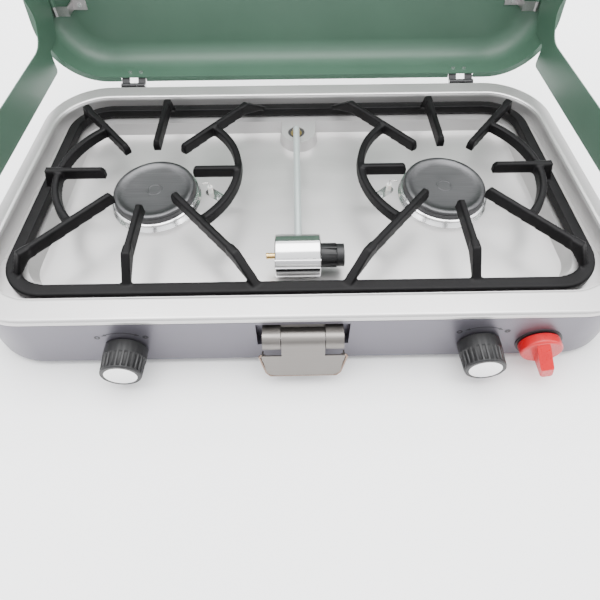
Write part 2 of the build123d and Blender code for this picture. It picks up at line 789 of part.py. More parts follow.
# leads from the spark unit to both electrodes
lead_floor = bottom_edge + case_wall + lead_radius + 1.0
spark_back = case_front + case_wall + 43.0
right_tip = burner_x + electrode_dx
right_lead = pipe_run([
    (igniter_x - 4, spark_back, igniter_height), (igniter_x - 4, spark_back + 14, igniter_height - 3),
    (igniter_x - 18, spark_back + 28, lead_floor + 1), (burner_x, -60, lead_floor),
    (right_tip + 8, -4, lead_floor), (right_tip, electrode_dy, lead_floor + 4),
    (right_tip, electrode_dy, lead_top)], lead_radius, 4.0)
left_lead = pipe_run([
    (igniter_x + 4, spark_back, igniter_height), (igniter_x + 4, spark_back + 16, igniter_height - 3),
    (igniter_x - 14, spark_back + 38, lead_floor + 1), (burner_x - 44, -44, lead_floor),
    (20, -30, lead_floor), (-right_tip + 28, -4, lead_floor), (-right_tip, electrode_dy, lead_floor + 4),
    (-right_tip, electrode_dy, lead_top)], lead_radius, 4.0)
keep("ignition_leads", right_lead, left_lead)


regulator_left = regulator_x - regulator_length / 2
regulator_right = regulator_x + regulator_length / 2


def build_regulator():
    """The drum, with two grooves and seats for the tube, the pin and the cap."""
    left = regulator_left
    right = regulator_right
    body = along_x(regulator_radius, regulator_y, regulator_height, left, right)
    body = chamfer(body.edges().filter_by(GeomType.CIRCLE), 1.0)
    for angle in (200, 222):
        groove_y = regulator_y + regulator_radius * math.cos(math.radians(angle))
        groove_z = regulator_height - regulator_radius * math.sin(math.radians(angle))
        body -= along_x(1.2, groove_y, groove_z, left - 1, right + 1)
    body -= along_y(tube_radius, tube_x, arm_z, regulator_y + regulator_radius - 2.0, regulator_y + 40)
    body -= along_x(inlet_pin_radius, regulator_y, regulator_height, left - 1, left + 4)
    return body - along_x(dust_cap_neck, regulator_y, regulator_height, right - 5, right + 1)


keep("regulator_body", build_regulator())
pin = along_x(inlet_pin_radius, regulator_y, regulator_height, regulator_left - 8.6, regulator_left + 4)
pin -= along_x(1.2, regulator_y, regulator_height, regulator_left - 9, regulator_left - 2)
keep("regulator_inlet_pin", pin)
dust_cap = lathe_z([(0, 0), (dust_cap_neck, 0), (dust_cap_neck, 5), (11.2, 5), (9.6, 19), (10.6, 20.5),
                    (10.6, 27), (0, 27)], 0, 0)
rib = block(9.1, 11.3, -0.8, 0.8, 5, 20)
dust_cap += Compound(children=[Rot(0, 0, 360 / dust_cap_ribs * i) * rib for i in range(dust_cap_ribs)])
keep("regulator_dust_cap", Pos(regulator_right - 5, regulator_y, regulator_height) * Rot(0, 90, 0) * dust_cap)


# ---------------------------------------------------------------- lid
lip_plane = rim_height + lid_gap
lid_rear = pivot_y - 3.0
lid_front = lid_rear - lid_length
wall_outer = lid_half_width - lid_lip


def lid_form(inset, depth, back_round):
    """The domed form of the closed lid, drawn in by an inset."""
    body = plate(wall_outer - inset, lid_front + lid_lip + inset, lid_rear - lid_lip - inset,
                 lid_corner - lid_lip - inset, lip_plane, lip_plane + depth)
    return fillet(body.faces().sort_by(Axis.Z)[-1].edges(), back_round)


def build_lid():
    """The lid pressing with its lip, hem and hinge notches, turned open."""
    outer = lid_form(0.0, lid_depth + lid_sheet, lid_back_round + lid_sheet)
    inner = lid_form(lid_sheet, lid_depth, lid_back_round)
    flange = plate(lid_half_width, lid_front, lid_rear, lid_corner, lip_plane, lip_plane + lid_sheet)
    flange -= plate(wall_outer - lid_sheet, lid_front + lid_lip + lid_sheet, lid_rear - lid_lip - lid_sheet,
                    lid_corner - lid_lip - lid_sheet, lip_plane - 1, lip_plane + lid_sheet + 1)
    hem = plate(lid_half_width, lid_front, lid_rear, lid_corner, lip_plane, lip_plane + lid_hem)
    hem -= plate(lid_half_width - lid_sheet, lid_front + lid_sheet, lid_rear - lid_sheet,
                 lid_corner - lid_sheet, lip_plane - 1, lip_plane + lid_hem + 1)
    lid = (outer - inner) + flange + hem
    for side in (-1, 1):
        notch = hinge_width / 2 + 1.0
        lid -= block(side * hinge_x - notch, side * hinge_x + notch, lid_rear - lid_lip + 0.01, lid_rear + 1,
                     lip_plane - 1, lip_plane + 6)
    return opened(lid)


def wall_rivet(x, y, z):
    """A dome rivet through a vertical sheet and the leaf behind it, built along Y."""
    inside = along_y(rivet_head_radius, x, z, y - lid_sheet - rivet_head_height, y - lid_sheet)
    return inside + along_y(rivet_head_radius, x, z, y + leaf_sheet, y + leaf_sheet + rivet_head_height)


lid_wall_rear = lid_rear - lid_lip
leaf_top = lip_plane + 20
half_hinge = hinge_width / 2
base_leaf_section = [
    (case_back, leaf_low), (case_back + leaf_sheet, leaf_low), (case_back + leaf_sheet, pivot_height - 7.0),
    (pivot_y - 0.6, pivot_height - 3.1), (pivot_y - 0.6, pivot_height - 1.8), (case_back, pivot_height - 5.8)]
lid_leaf_section = [
    (lid_wall_rear, leaf_top), (lid_wall_rear + leaf_sheet, leaf_top),
    (lid_wall_rear + leaf_sheet, lip_plane + 3.4), (pivot_y + 0.6, pivot_height + 3.1),
    (pivot_y - 1.0, pivot_height + 3.0), (lid_wall_rear, lip_plane + 2.8)]


def build_base_leaf(x):
    """The leaf on the case, with the middle knuckle."""
    half = hinge_width / 6 - knuckle_gap
    leaf = along_x(knuckle_radius, pivot_y, pivot_height, x - half, x + half)
    leaf += yz_prism(base_leaf_section, x - half, x + half)
    leaf += block(x - half_hinge, x + half_hinge, case_back, case_back + leaf_sheet, leaf_low,
                  leaf_low + leaf_foot)
    return leaf - along_x(hinge_pin_radius + running_fit, pivot_y, pivot_height, x - 30, x + 30)


def build_lid_leaf(x):
    """The leaf on the lid, with the two outer knuckles."""
    inner = hinge_width / 6 + knuckle_gap
    leaf = block(x - half_hinge, x + half_hinge, lid_wall_rear, lid_wall_rear + leaf_sheet,
                 lip_plane + 8, leaf_top)
    for x_from, x_to in ((x - half_hinge, x - inner), (x + inner, x + half_hinge)):
        leaf += along_x(knuckle_radius, pivot_y, pivot_height, x_from, x_to)
        leaf += yz_prism(lid_leaf_section, x_from, x_to)
    leaf -= along_x(hinge_pin_radius + running_fit, pivot_y, pivot_height, x - 30, x + 30)
    return opened(leaf)


keep("hinge_base_leaves", build_base_leaf(-hinge_x), build_base_leaf(hinge_x))
keep("hinge_lid_leaves", build_lid_leaf(-hinge_x), build_lid_leaf(hinge_x))
keep("hinge_pins", *[along_x(hinge_pin_radius, pivot_y, pivot_height, x - half_hinge, x + half_hinge)
                     for x in (-hinge_x, hinge_x)])
keep("lid_shell", build_lid())
rivet_columns = [x + dx for x in (-hinge_x, hinge_x) for dx in (-rivet_spread, rivet_spread)]
lid_rivets = [opened(wall_rivet(x, lid_wall_rear, lip_plane + 13.0)) for x in rivet_columns]
keep("base_leaf_rivets", *[
    along_y(rivet_head_radius, x, leaf_low + leaf_foot / 2, case_back + leaf_sheet,
            case_back + leaf_sheet + rivet_head_height)
    for x in rivet_columns])


# ---------------------------------------------------------------- windscreens
def lip_line(z):
    """Y of the open lid's lip plane at a height."""
    lean = math.radians(open_angle - 90)
    offset = (lip_plane - pivot_height) / math.cos(lean)
    return pivot_y + offset + (z - pivot_height) * math.tan(lean)


screen_low = grate_top + screen_clearance
screen_front = screen_axis_y - screen_reach
arm_top = screen_low + screen_arm_height
roll_low = grate_top + 64.0
roll_high = grate_top + 132.0
screen_peak = grate_top + screen_top


def build_screen():
    """The right-hand screen, deployed: a tall part in the lid and a long low arm."""
    notch_y = lip_line(screen_low) - 4.5
    outline = rounded_outline([
        (screen_front, screen_low, 12.0),
        (notch_y, screen_low, 5.0),
        (notch_y, grate_top + 29, 3.0),
        (notch_y + 29, grate_top + 33, 12.0),
        (screen_axis_y - 3.5, roll_low, 0),
        (screen_axis_y, roll_low, 0),
        (screen_axis_y, roll_high, 0),
        (screen_axis_y - 3, roll_high, 0),
        (screen_axis_y - 8, screen_peak, 8.0),
        (pivot_y - 21, screen_peak, 10.0),
        (pivot_y - 13, grate_top + 118, 60.0),
        (pivot_y, grate_top + 74, 22.0),
        (pivot_y - 15, arm_top, 24.0),
        (screen_front, arm_top, 20.0),
    ])
    sheet = Pos(screen_half_span - screen_sheet / 2, 0, 0) * extrude(Plane.YZ * outline, screen_sheet)
    sheet += along_z(screen_roll_radius, screen_axis_x, screen_axis_y, roll_low, roll_high)
    bore = along_z(screen_rod_radius + running_fit, screen_axis_x, screen_axis_y, roll_low - 20,
                   roll_high + 20)
    return sheet - bore


lid_lean = open_angle - 90
clip_x_out = screen_axis_x - clip_setback
clip_x_in = clip_x_out - clip_setback


def on_lid_back(z, shape):
    """Lays a piece built against the plane y = 0 on the inside of the lid's back panel."""
    back_y = lip_line(z) + lid_depth / math.cos(math.radians(lid_lean))
    return Pos(0, back_y, z) * Rot(-lid_lean, 0, 0) * shape


def build_clip(z_mid):
    """A joggled strap that holds one end of the screen's rod to the inside of the lid."""
    low = z_mid - clip_half
    high = z_mid + clip_half
    wall = screen_axis_y - clip_sheet
    clip = along_z(screen_roll_radius, screen_axis_x, screen_axis_y, low, high)
    clip += block(clip_x_out, screen_axis_x, wall, screen_axis_y, low, high)
    pad = block(clip_x_in, clip_x_out + clip_sheet, -clip_sheet, 0, -clip_half, clip_half)
    clip += on_lid_back(z_mid, pad)
    back_y = lip_line(z_mid) + lid_depth
    stem = block(clip_x_out, clip_x_out + clip_sheet, wall, back_y + 4, low + 0.5, high - 0.5)
    clip += stem - on_lid_back(z_mid, block(clip_x_in - 5, clip_x_out + 5, 0, 30, -20, 20))
    return clip - along_z(screen_rod_radius, screen_axis_x, screen_axis_y, low - 1, high + 1)


def build_clip_rivet(z_mid):
    """The rivet through a clip's pad, with its head on the pad."""
    middle = (clip_x_in + clip_x_out) / 2
    head = along_y(rivet_head_radius, middle, 0, -clip_sheet - rivet_head_height, -clip_sheet)
    return on_lid_back(z_mid, head)


clip_heights = (roll_low - clip_half - knuckle_gap, roll_high + clip_half + knuckle_gap)
screen = build_screen()
rod = along_z(screen_rod_radius, screen_axis_x, screen_axis_y, clip_heights[0] - clip_half,
              clip_heights[1] + clip_half)
clips = [build_clip(z) for z in clip_heights]
clip_rivets = [build_clip_rivet(z) for z in clip_heights]
keep("windscreen_right", screen)
keep("windscreen_left", mirrored(screen))
keep("screen_rods", rod, mirrored(rod))
keep("screen_clips_right", *clips)
keep("screen_clips_left", *[mirrored(clip) for clip in clips])
keep("lid_rivets", *lid_rivets, *clip_rivets, *[mirrored(rivet) for rivet in clip_rivets])


# ---------------------------------------------------------------- latch
def ear_form(shrink, x_from, x_to, back):
    """A rounded cheek about the latch pin that runs back into the pocket."""
    radius = ear_radius - shrink
    form = along_x(radius, latch_pivot_y, latch_pivot_height, x_from, x_to)
    low = latch_pivot_height - radius
    return form + block(x_from, x_to, latch_pivot_y, back, low, low + 2 * radius)


def build_latch_bracket():
    """The fixed bracket in the pocket: a back plate and two hollow ears that hold the pin."""
    back = case_front + pocket_depth
    face = back - bracket_plate
    bracket = block(-bracket_half, bracket_half, face, back, pocket_bottom + 1, pocket_top - 1)
    for x_from, x_to in ((-bracket_half, -ear_inner), (ear_inner, bracket_half)):
        web_x = x_from if x_from < 0 else x_to - bracket_plate
        bracket += ear_form(0.0, x_from, x_to, face + 0.4) - ear_form(
            bracket_plate, x_from - 1, x_to + 1, face)
        bracket += ear_form(0.6, web_x, web_x + bracket_plate, face + 0.4)
    return bracket - along_x(latch_pin_radius, latch_pivot_y, latch_pivot_height, -40, 40)


def hang(shape):
    """Leans a piece built straight down from the latch pin outwards to its rest angle."""
    return Pos(0, latch_pivot_y, latch_pivot_height) * Rot(-plate_lean, 0, 0) * shape


lug_y = plate_face_y + 2.2


def build_latch_plate():
    """The swinging plate: a tongue rolled round the pin, wide shoulders and two lugs for the bail."""
    lower = make_face(Polyline(
        (-latch_half_width, -shoulder_drop), (latch_half_width, -shoulder_drop),
        (latch_half_width - 4, -plate_low), (-latch_half_width + 4, -plate_low), close=True))
    lower = fillet(lower.vertices().group_by(Axis.Y)[0], 8.0)
    sheet = extrude(Plane.XZ * lower, latch_sheet)
    sheet += extrude(Plane.XZ * (Pos(0, -12) * Rectangle(2 * tongue_half, 25.0)), latch_sheet)
    inside = -plate_face_y
    hook = along_x(inside + latch_sheet, 0, 0, -tongue_half, tongue_half) - along_x(inside, 0, 0, -19, 19)
    hook -= block(-19, 19, -30, 30, -30, 0)
    body = Pos(0, plate_face_y, 0) * sheet + hook
    body += along_x(latch_pin_radius + 1.4, 0, 0, -tongue_half, tongue_half)
    body += block(-tongue_half, tongue_half, -9.2, -2.0, -0.7, 0.7)
    body += block(-tongue_half, tongue_half, 2.0, 8.6, -0.7, 0.7)
    body -= along_x(latch_pin_radius + running_fit, 0, 0, -40, 40)
    for side in (-1, 1):
        body += Pos(side * (latch_half_width - 0.7), lug_y, -bail_drop) * Box(1.4, 5.4, 6.0)
    return hang(body - along_x(bail_radius + running_fit, lug_y, -bail_drop, -50, 50))


keep("latch_bracket", build_latch_bracket())
keep("latch_pin", along_x(latch_pin_radius, latch_pivot_y, latch_pivot_height, -bracket_half, bracket_half))
keep("latch_plate", build_latch_plate())
bail_x = latch_half_width + 2.6
bail_low = bail_drop - plate_low
half_bail = [(0, 0, 0), (0, 0, 0), (-5.5, -0.6, bail_low + 1.0), (-9.0, -1.2, bail_low - 2.5)]
half_bail = [(bail_x + dx, y, z) for dx, y, z in half_bail]
half_bail[0] = (latch_half_width - 3.0, 0, 0)
bail = pipe_run(half_bail + [(-x, y, z) for x, y, z in reversed(half_bail)], bail_radius, bail_bend)
keep("latch_bail", hang(Pos(0, lug_y, -bail_drop) * bail))


# ---------------------------------------------------------------- write the part
boxes = [shape.bounding_box() for shape in parts.values()]
y_shift = -(min(b.min.Y for b in boxes) + max(b.max.Y for b in boxes)) / 2
print("moved along Y by", round(y_shift, 4))

os.makedirs("parts", exist_ok=True)
for name, shape in parts.items():
    export_step(Pos(0, y_shift, 0) * shape, os.path.join("parts", name + ".step"))
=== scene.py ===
"""A two-burner folding camping stove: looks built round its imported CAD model.

Each sub-assembly is a class that knows its own sizes, builds its meshes with bmesh operators and
dresses them in finishes. Everything is in metres, in the model's own frame: +X to the cook's
right, -Y towards the cook, +Z up.
"""

import json
import logging
import math
from dataclasses import dataclass, field
from enum import Enum
from typing import Callable, Iterable, Optional, Sequence

import bmesh
import bpy
from mathutils import Matrix, Vector


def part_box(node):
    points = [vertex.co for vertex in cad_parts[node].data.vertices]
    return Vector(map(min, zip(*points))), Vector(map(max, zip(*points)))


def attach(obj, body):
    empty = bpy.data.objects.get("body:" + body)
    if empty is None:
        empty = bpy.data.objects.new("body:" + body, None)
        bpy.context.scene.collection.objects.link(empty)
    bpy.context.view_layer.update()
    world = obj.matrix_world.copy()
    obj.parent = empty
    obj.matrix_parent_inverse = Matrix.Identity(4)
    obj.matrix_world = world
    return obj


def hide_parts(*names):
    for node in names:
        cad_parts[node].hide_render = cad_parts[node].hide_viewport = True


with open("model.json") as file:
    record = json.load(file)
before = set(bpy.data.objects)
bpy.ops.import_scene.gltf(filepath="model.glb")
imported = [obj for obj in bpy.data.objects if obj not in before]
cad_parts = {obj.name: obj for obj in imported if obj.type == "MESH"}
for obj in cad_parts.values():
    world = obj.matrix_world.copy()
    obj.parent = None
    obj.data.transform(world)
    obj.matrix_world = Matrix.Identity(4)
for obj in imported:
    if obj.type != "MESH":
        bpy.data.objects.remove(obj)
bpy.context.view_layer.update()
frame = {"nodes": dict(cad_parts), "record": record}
log = logging.getLogger("stove")
MM = 0.001
SIDES = (("left", -1), ("right", 1))


class Grain(Enum):
    """How a metal surface was worked."""

    ALONG_X = "along_x"
    ALONG_Z = "along_z"
    SPUN = "spun"
    NONE = "none"


# ------------------------------------------------------------------ shader building
class ShaderSheet:
    """A material's node tree with short ways to add the nodes that the finishes share."""

    def __init__(self, name: str) -> None:
        """Starts an empty tree with a Principled shader.

        Args:
            name: the material's name.
        """
        self.material = bpy.data.materials.new(name)
        self.material.use_nodes = True
        self.tree = self.material.node_tree
        self.tree.nodes.clear()
        output = self.tree.nodes.new("ShaderNodeOutputMaterial")
        self.shader = self.tree.nodes.new("ShaderNodeBsdfPrincipled")
        self.tree.links.new(self.shader.outputs["BSDF"], output.inputs["Surface"])

    def constant(self, **values: object) -> None:
        """Sets plain values on the shader's own sockets, named with underscores for spaces."""
        for name, value in values.items():
            self.shader.inputs[name.replace("_", " ")].default_value = value

    def link(self, source: bpy.types.NodeSocket, target: bpy.types.NodeSocket) -> None:
        """Joins two sockets."""
        self.tree.links.new(source, target)

    def object_space(self, scale: Sequence[float], offset: Sequence[float] = (0, 0, 0)) -> bpy.types.NodeSocket:
        """Gives object coordinates, moved and then stretched.

        Args:
            scale: stretch along each axis.
            offset: place taken as the origin, in metres.

        Returns:
            The mapped vector socket.
        """
        source = self.tree.nodes.new("ShaderNodeTexCoord")
        moved = self.tree.nodes.new("ShaderNodeVectorMath")
        moved.operation = "SUBTRACT"
        moved.inputs[1].default_value = offset
        self.link(source.outputs["Object"], moved.inputs[0])
        mapping = self.tree.nodes.new("ShaderNodeMapping")
        mapping.inputs["Scale"].default_value = scale
        self.link(moved.outputs[0], mapping.inputs["Vector"])
        return mapping.outputs["Vector"]

    def spun_space(self, centre: Sequence[float], axis: str, rings: float, turns: float) -> bpy.types.NodeSocket:
        """Gives coordinates that run round an axis, for turned and spun metal.

        Args:
            centre: a point on the axis, in metres.
            axis: "X", "Y" or "Z".
            rings: stretch along the radius.
            turns: stretch round the axis.

        Returns:
            The vector socket.
        """
        source = self.object_space((1, 1, 1), centre)
        split = self.tree.nodes.new("ShaderNodeSeparateXYZ")
        self.link(source, split.inputs[0])
        names = [n for n in "XYZ" if n != axis]
        first, second = split.outputs[names[0]], split.outputs[names[1]]
        angle = self.math("ARCTAN2", second, first)
        squares = self.math("ADD", self.math("MULTIPLY", first, first), self.math("MULTIPLY", second, second))
        radius = self.math("SQRT", squares)
        join = self.tree.nodes.new("ShaderNodeCombineXYZ")
        self.link(self.math("MULTIPLY", radius, rings), join.inputs[0])
        self.link(self.math("MULTIPLY", angle, turns), join.inputs[1])
        self.link(self.math("MULTIPLY", split.outputs[axis], rings), join.inputs[2])
        return join.outputs[0]

    def math(self, operation: str, a: object, b: object = 0.0) -> bpy.types.NodeSocket:
        """Adds a Math node; each input is a socket or a number."""
        node = self.tree.nodes.new("ShaderNodeMath")
        node.operation = operation
        for socket, value in zip(node.inputs, (a, b)):
            if isinstance(value, bpy.types.NodeSocket):
                self.link(value, socket)
            else:
                socket.default_value = value
        return node.outputs[0]

    def noise(self, vector: bpy.types.NodeSocket, scale: float, detail: float = 4.0) -> bpy.types.NodeSocket:
        """Adds a noise texture and gives its value."""
        node = self.tree.nodes.new("ShaderNodeTexNoise")
        node.inputs["Scale"].default_value = scale
        node.inputs["Detail"].default_value = detail
        self.link(vector, node.inputs["Vector"])
        return node.outputs["Fac"]

    def spread(self, value: bpy.types.NodeSocket, low: float, high: float,
               from_low: float = 0.3, from_high: float = 0.7) -> bpy.types.NodeSocket:
        """Remaps a noise value to a range."""
        node = self.tree.nodes.new("ShaderNodeMapRange")
        node.inputs["From Min"].default_value = from_low
        node.inputs["From Max"].default_value = from_high
        node.inputs["To Min"].default_value = low
        node.inputs["To Max"].default_value = high
        self.link(value, node.inputs["Value"])
        return node.outputs["Result"]

    def two_tone(self, value: bpy.types.NodeSocket, dark: Sequence[float], light: Sequence[float],
                 low: float = 0.3, high: float = 0.7) -> bpy.types.NodeSocket:
        """Turns a value into a colour between two tones."""
        node = self.tree.nodes.new("ShaderNodeValToRGB")
        node.color_ramp.elements[0].position = low
        node.color_ramp.elements[0].color = (*dark, 1)
        node.color_ramp.elements[1].position = high
        node.color_ramp.elements[1].color = (*light, 1)
        self.link(value, node.inputs["Fac"])
        return node.outputs["Color"]

    def colour(self, socket: bpy.types.NodeSocket) -> None:
        """Feeds the shader's base colour."""
        self.link(socket, self.shader.inputs["Base Color"])

    def roughness(self, socket: bpy.types.NodeSocket) -> None:
        """Feeds the shader's roughness."""
        self.link(socket, self.shader.inputs["Roughness"])

    def bump(self, *layers: tuple[bpy.types.NodeSocket, float, float]) -> None:
        """Chains bump layers into the shader.

        Args:
            layers: (height, strength, distance in metres) for each layer.
        """
        previous: Optional[bpy.types.NodeSocket] = None
        for height, strength, distance in layers:
            node = self.tree.nodes.new("ShaderNodeBump")
            node.inputs["Strength"].default_value = strength
            node.inputs["Distance"].default_value = distance
            self.link(height, node.inputs["Height"])
            if previous is not None:
                self.link(previous, node.inputs["Normal"])
            previous = node.outputs["Normal"]
        if previous is not None:
            self.link(previous, self.shader.inputs["Normal"])


def shade(colour: Sequence[float], factor: float) -> tuple[float, ...]:
    """Makes a colour lighter or darker."""
    return tuple(min(1.0, c * factor) for c in colour)


@dataclass(frozen=True)
class WorkedMetal:
    """Bare metal: brushed, spun or plain, with hairlines and uneven polish."""

    name: str
    tone: tuple[float, float, float]
    rough: float = 0.3
    grain: Grain = Grain.ALONG_X
    contrast: float = 0.06
    centre: tuple[float, float, float] = (0.0, 0.0, 0.0)
    axis: str = "Z"
    hairline: float = 0.05
    cloud: float = 0.05
    metallic: float = 1.0

    def make(self) -> bpy.types.Material:
        """Builds the material."""
        sheet = ShaderSheet(self.name)
        sheet.constant(Metallic=self.metallic)
        if self.grain is Grain.SPUN:
            lines = sheet.noise(sheet.spun_space(self.centre, self.axis, 2600.0, 1.5), 1.0, 3.0)
        elif self.grain is Grain.ALONG_X:
            lines = sheet.noise(sheet.object_space((14.0, 1900.0, 1900.0)), 1.0, 5.0)
        elif self.grain is Grain.ALONG_Z:
            lines = sheet.noise(sheet.object_space((1900.0, 1900.0, 14.0)), 1.0, 5.0)
        else:
            lines = sheet.noise(sheet.object_space((1, 1, 1)), 900.0, 5.0)
        cloud = sheet.noise(sheet.object_space((1, 1.4, 1)), 11.0, 3.0)
        sheet.colour(sheet.two_tone(lines, shade(self.tone, 1 - self.contrast), shade(self.tone, 1 + self.contrast)))
        low, high = self.rough - self.cloud, self.rough + self.cloud
        sheet.roughness(sheet.math("ADD", sheet.spread(cloud, low, high), sheet.spread(lines, -0.03, 0.03)))
        sheet.bump((lines, self.hairline, 0.0001))
        return sheet.material


@dataclass(frozen=True)
class CastBlack:
    """Cast iron under a satin black enamel, a little worn where it is handled."""

    name: str
    tone: tuple[float, float, float] = (0.0034, 0.0032, 0.0035)
    rough: float = 0.46

    def make(self) -> bpy.types.Material:
        """Builds the material."""
        sheet = ShaderSheet(self.name)
        grain = sheet.noise(sheet.object_space((1, 1, 1)), 620.0, 6.0)
        patch = sheet.noise(sheet.object_space((1, 1, 1)), 38.0, 4.0)
        sheet.constant(Metallic=0.0, Specular_IOR_Level=0.14)
        sheet.colour(sheet.two_tone(patch, shade(self.tone, 0.75), shade(self.tone, 1.7), 0.32, 0.72))
        sheet.roughness(sheet.math("ADD", sheet.spread(patch, self.rough - 0.05, self.rough + 0.07),
                                   sheet.spread(grain, -0.05, 0.05)))
        sheet.bump((patch, 0.12, 0.0004), (grain, 0.22, 0.00012))
        return sheet.material


@dataclass(frozen=True)
class SatinPaint:
    """Stoved paint on sheet steel, with a fine orange peel."""

    name: str
    tone: tuple[float, float, float]
    rough: float = 0.4
    metallic: float = 0.0
    peel: float = 0.10
    coat: float = 0.0

    def make(self) -> bpy.types.Material:
        """Builds the material."""
        sheet = ShaderSheet(self.name)
        peel = sheet.noise(sheet.object_space((1, 1, 1)), 520.0, 2.0)
        patch = sheet.noise(sheet.object_space((1, 1, 1)), 14.0, 4.0)
        sheet.constant(Metallic=self.metallic, Coat_Weight=self.coat, Coat_Roughness=0.25)
        sheet.colour(sheet.two_tone(patch, shade(self.tone, 0.95), shade(self.tone, 1.06)))
        sheet.roughness(sheet.spread(patch, self.rough - 0.03, self.rough + 0.04))
        sheet.bump((peel, self.peel, 0.00012))
        return sheet.material


@dataclass(frozen=True)
class Moulded:
    """Moulded plastic, rubber or glazed ceramic, with spark-eroded texture."""

    name: str
    tone: tuple[float, float, float]
    rough: float = 0.45
    texture: float = 0.12
    scale: float = 1100.0
    subsurface: float = 0.0

    def make(self) -> bpy.types.Material:
        """Builds the material."""
        sheet = ShaderSheet(self.name)
        fine = sheet.noise(sheet.object_space((1, 1, 1)), self.scale, 3.0)
        patch = sheet.noise(sheet.object_space((1, 1, 1)), 60.0, 3.0)
        sheet.constant(Metallic=0.0, Subsurface_Weight=self.subsurface, Subsurface_Scale=0.002)
        sheet.colour(sheet.two_tone(patch, shade(self.tone, 0.9), shade(self.tone, 1.12)))
        sheet.roughness(sheet.spread(fine, self.rough - 0.05, self.rough + 0.06))
        sheet.bump((fine, self.texture, 0.0001))
        return sheet.material


# ------------------------------------------------------------------ mesh building
def finish_mesh(name: str, work: bmesh.types.BMesh, material: bpy.types.Material, body: str,
                sharp: float = 32.0) -> bpy.types.Object:
    """Turns a bmesh into a finished piece at the origin.

    Args:
        name: the piece's name.
        work: the mesh, in the model's frame; it is freed.
        material: its finish.
        body: the CAD body it rides on.
        sharp: edges over this many degrees stay crisp.

    Returns:
        The new object.
    """
    bmesh.ops.remove_doubles(work, verts=work.verts[:], dist=1e-6)
    bmesh.ops.recalc_face_normals(work, faces=work.faces[:])
    limit = math.radians(sharp)
    for face in work.faces:
        face.smooth = True
    for edge in work.edges:
        edge.smooth = len(edge.link_faces) == 2 and edge.calc_face_angle(0.0) < limit
    mesh = bpy.data.meshes.new(name)
    work.to_mesh(mesh)
    work.free()
    mesh.materials.append(material)
    piece = bpy.data.objects.new(name, mesh)
    bpy.context.scene.collection.objects.link(piece)
    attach(piece, body)
    log.info("piece %s on %s: %d faces", name, body, len(mesh.polygons))
    return piece


def cad_copy(nodes: Iterable[str]) -> bmesh.types.BMesh:
    """Gives the merged mesh of one or more CAD nodes, with its normals as they were.

    Args:
        nodes: the CAD nodes' names.

    Returns:
        A new bmesh in the model's frame.
    """
    work = bmesh.new()
    for node in nodes:
        work.from_mesh(frame["nodes"][node].data)
    bmesh.ops.remove_doubles(work, verts=work.verts[:], dist=2e-6)
    return work


def lathe(profile: Sequence[tuple[float, float]], centre: Vector, axis: Vector, steps: int = 96) -> bmesh.types.BMesh:
    """Spins an outline about an axis.

    Args:
        profile: (radius, height along the axis) points, in metres.
        centre: the axis' foot.
        axis: the axis' direction.
        steps: divisions of the full turn.

    Returns:
        The turned mesh, placed.
    """
    work = bmesh.new()
    points = [work.verts.new((radius, 0.0, height)) for radius, height in profile]
    edges = [work.edges.new(pair) for pair in zip(points, points[1:])]
    bmesh.ops.spin(work, geom=points + edges, cent=(0, 0, 0), axis=(0, 0, 1), angle=math.tau, steps=steps,
                   use_merge=True, use_duplicate=False)
    bmesh.ops.remove_doubles(work, verts=work.verts[:], dist=1e-7)
    turn = Vector((0, 0, 1)).rotation_difference(axis).to_matrix().to_4x4()
    bmesh.ops.transform(work, matrix=Matrix.Translation(centre) @ turn, verts=work.verts[:])
    return work


def middle(node: str) -> Vector:
    """The middle of a CAD node's box."""
    low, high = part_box(node)
    return (low + high) / 2


def dress(material: bpy.types.Material, *nodes: str) -> None:
    """Gives CAD nodes a finish, with their own meshes left alone."""
    for node in nodes:
        piece = frame["nodes"][node]
        piece.data.materials.clear()
        piece.data.materials.append(material)


def body_of(node: str) -> str:
    """The CAD body that a node belongs to."""
    bodies = frame["record"]["behaviour"]["bodies"]
    return next(body for body, members in bodies.items() if node in members)


def reskin(name: str, material: bpy.types.Material, *nodes: str, sharp: float = 32.0,
           round_edges: float = 0.0) -> bpy.types.Object:
    """Replaces CAD nodes by a merged, smooth-shaded copy with small rounded edges.

    Args:
        name: the new piece's name.
        material: its finish.
        nodes: the CAD nodes it stands for, all on one body.
        sharp: edges over this many degrees stay crisp.
        round_edges: the radius that crisp edges are broken to, in metres.

    Returns:
        The new piece.
    """
    work = cad_copy(nodes)
    if round_edges > 0:
        bmesh.ops.dissolve_limit(work, angle_limit=math.radians(0.4), verts=work.verts[:], edges=work.edges[:])
    limit = math.radians(sharp)
    for face in work.faces:
        face.smooth = True
    for edge in work.edges:
        edge.smooth = len(edge.link_faces) == 2 and edge.calc_face_angle(0.0) < limit
    mesh = bpy.data.meshes.new(name)
    work.to_mesh(mesh)
    work.free()
    mesh.materials.append(material)
    piece = bpy.data.objects.new(name, mesh)
    bpy.context.scene.collection.objects.link(piece)
    if round_edges > 0:
        bevel = piece.modifiers.new("edge break", "BEVEL")
        bevel.width = round_edges
        bevel.segments = 2
        bevel.limit_method = "ANGLE"
        bevel.angle_limit = math.radians(sharp)
        bevel.harden_normals = True
        bevel.use_clamp_overlap = True
    even = piece.modifiers.new("even shading", "WEIGHTED_NORMAL")
    even.keep_sharp = True
    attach(piece, body_of(nodes[0]))
    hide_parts(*nodes)
    log.info("piece %s stands for %s", name, ", ".join(nodes))
    return piece


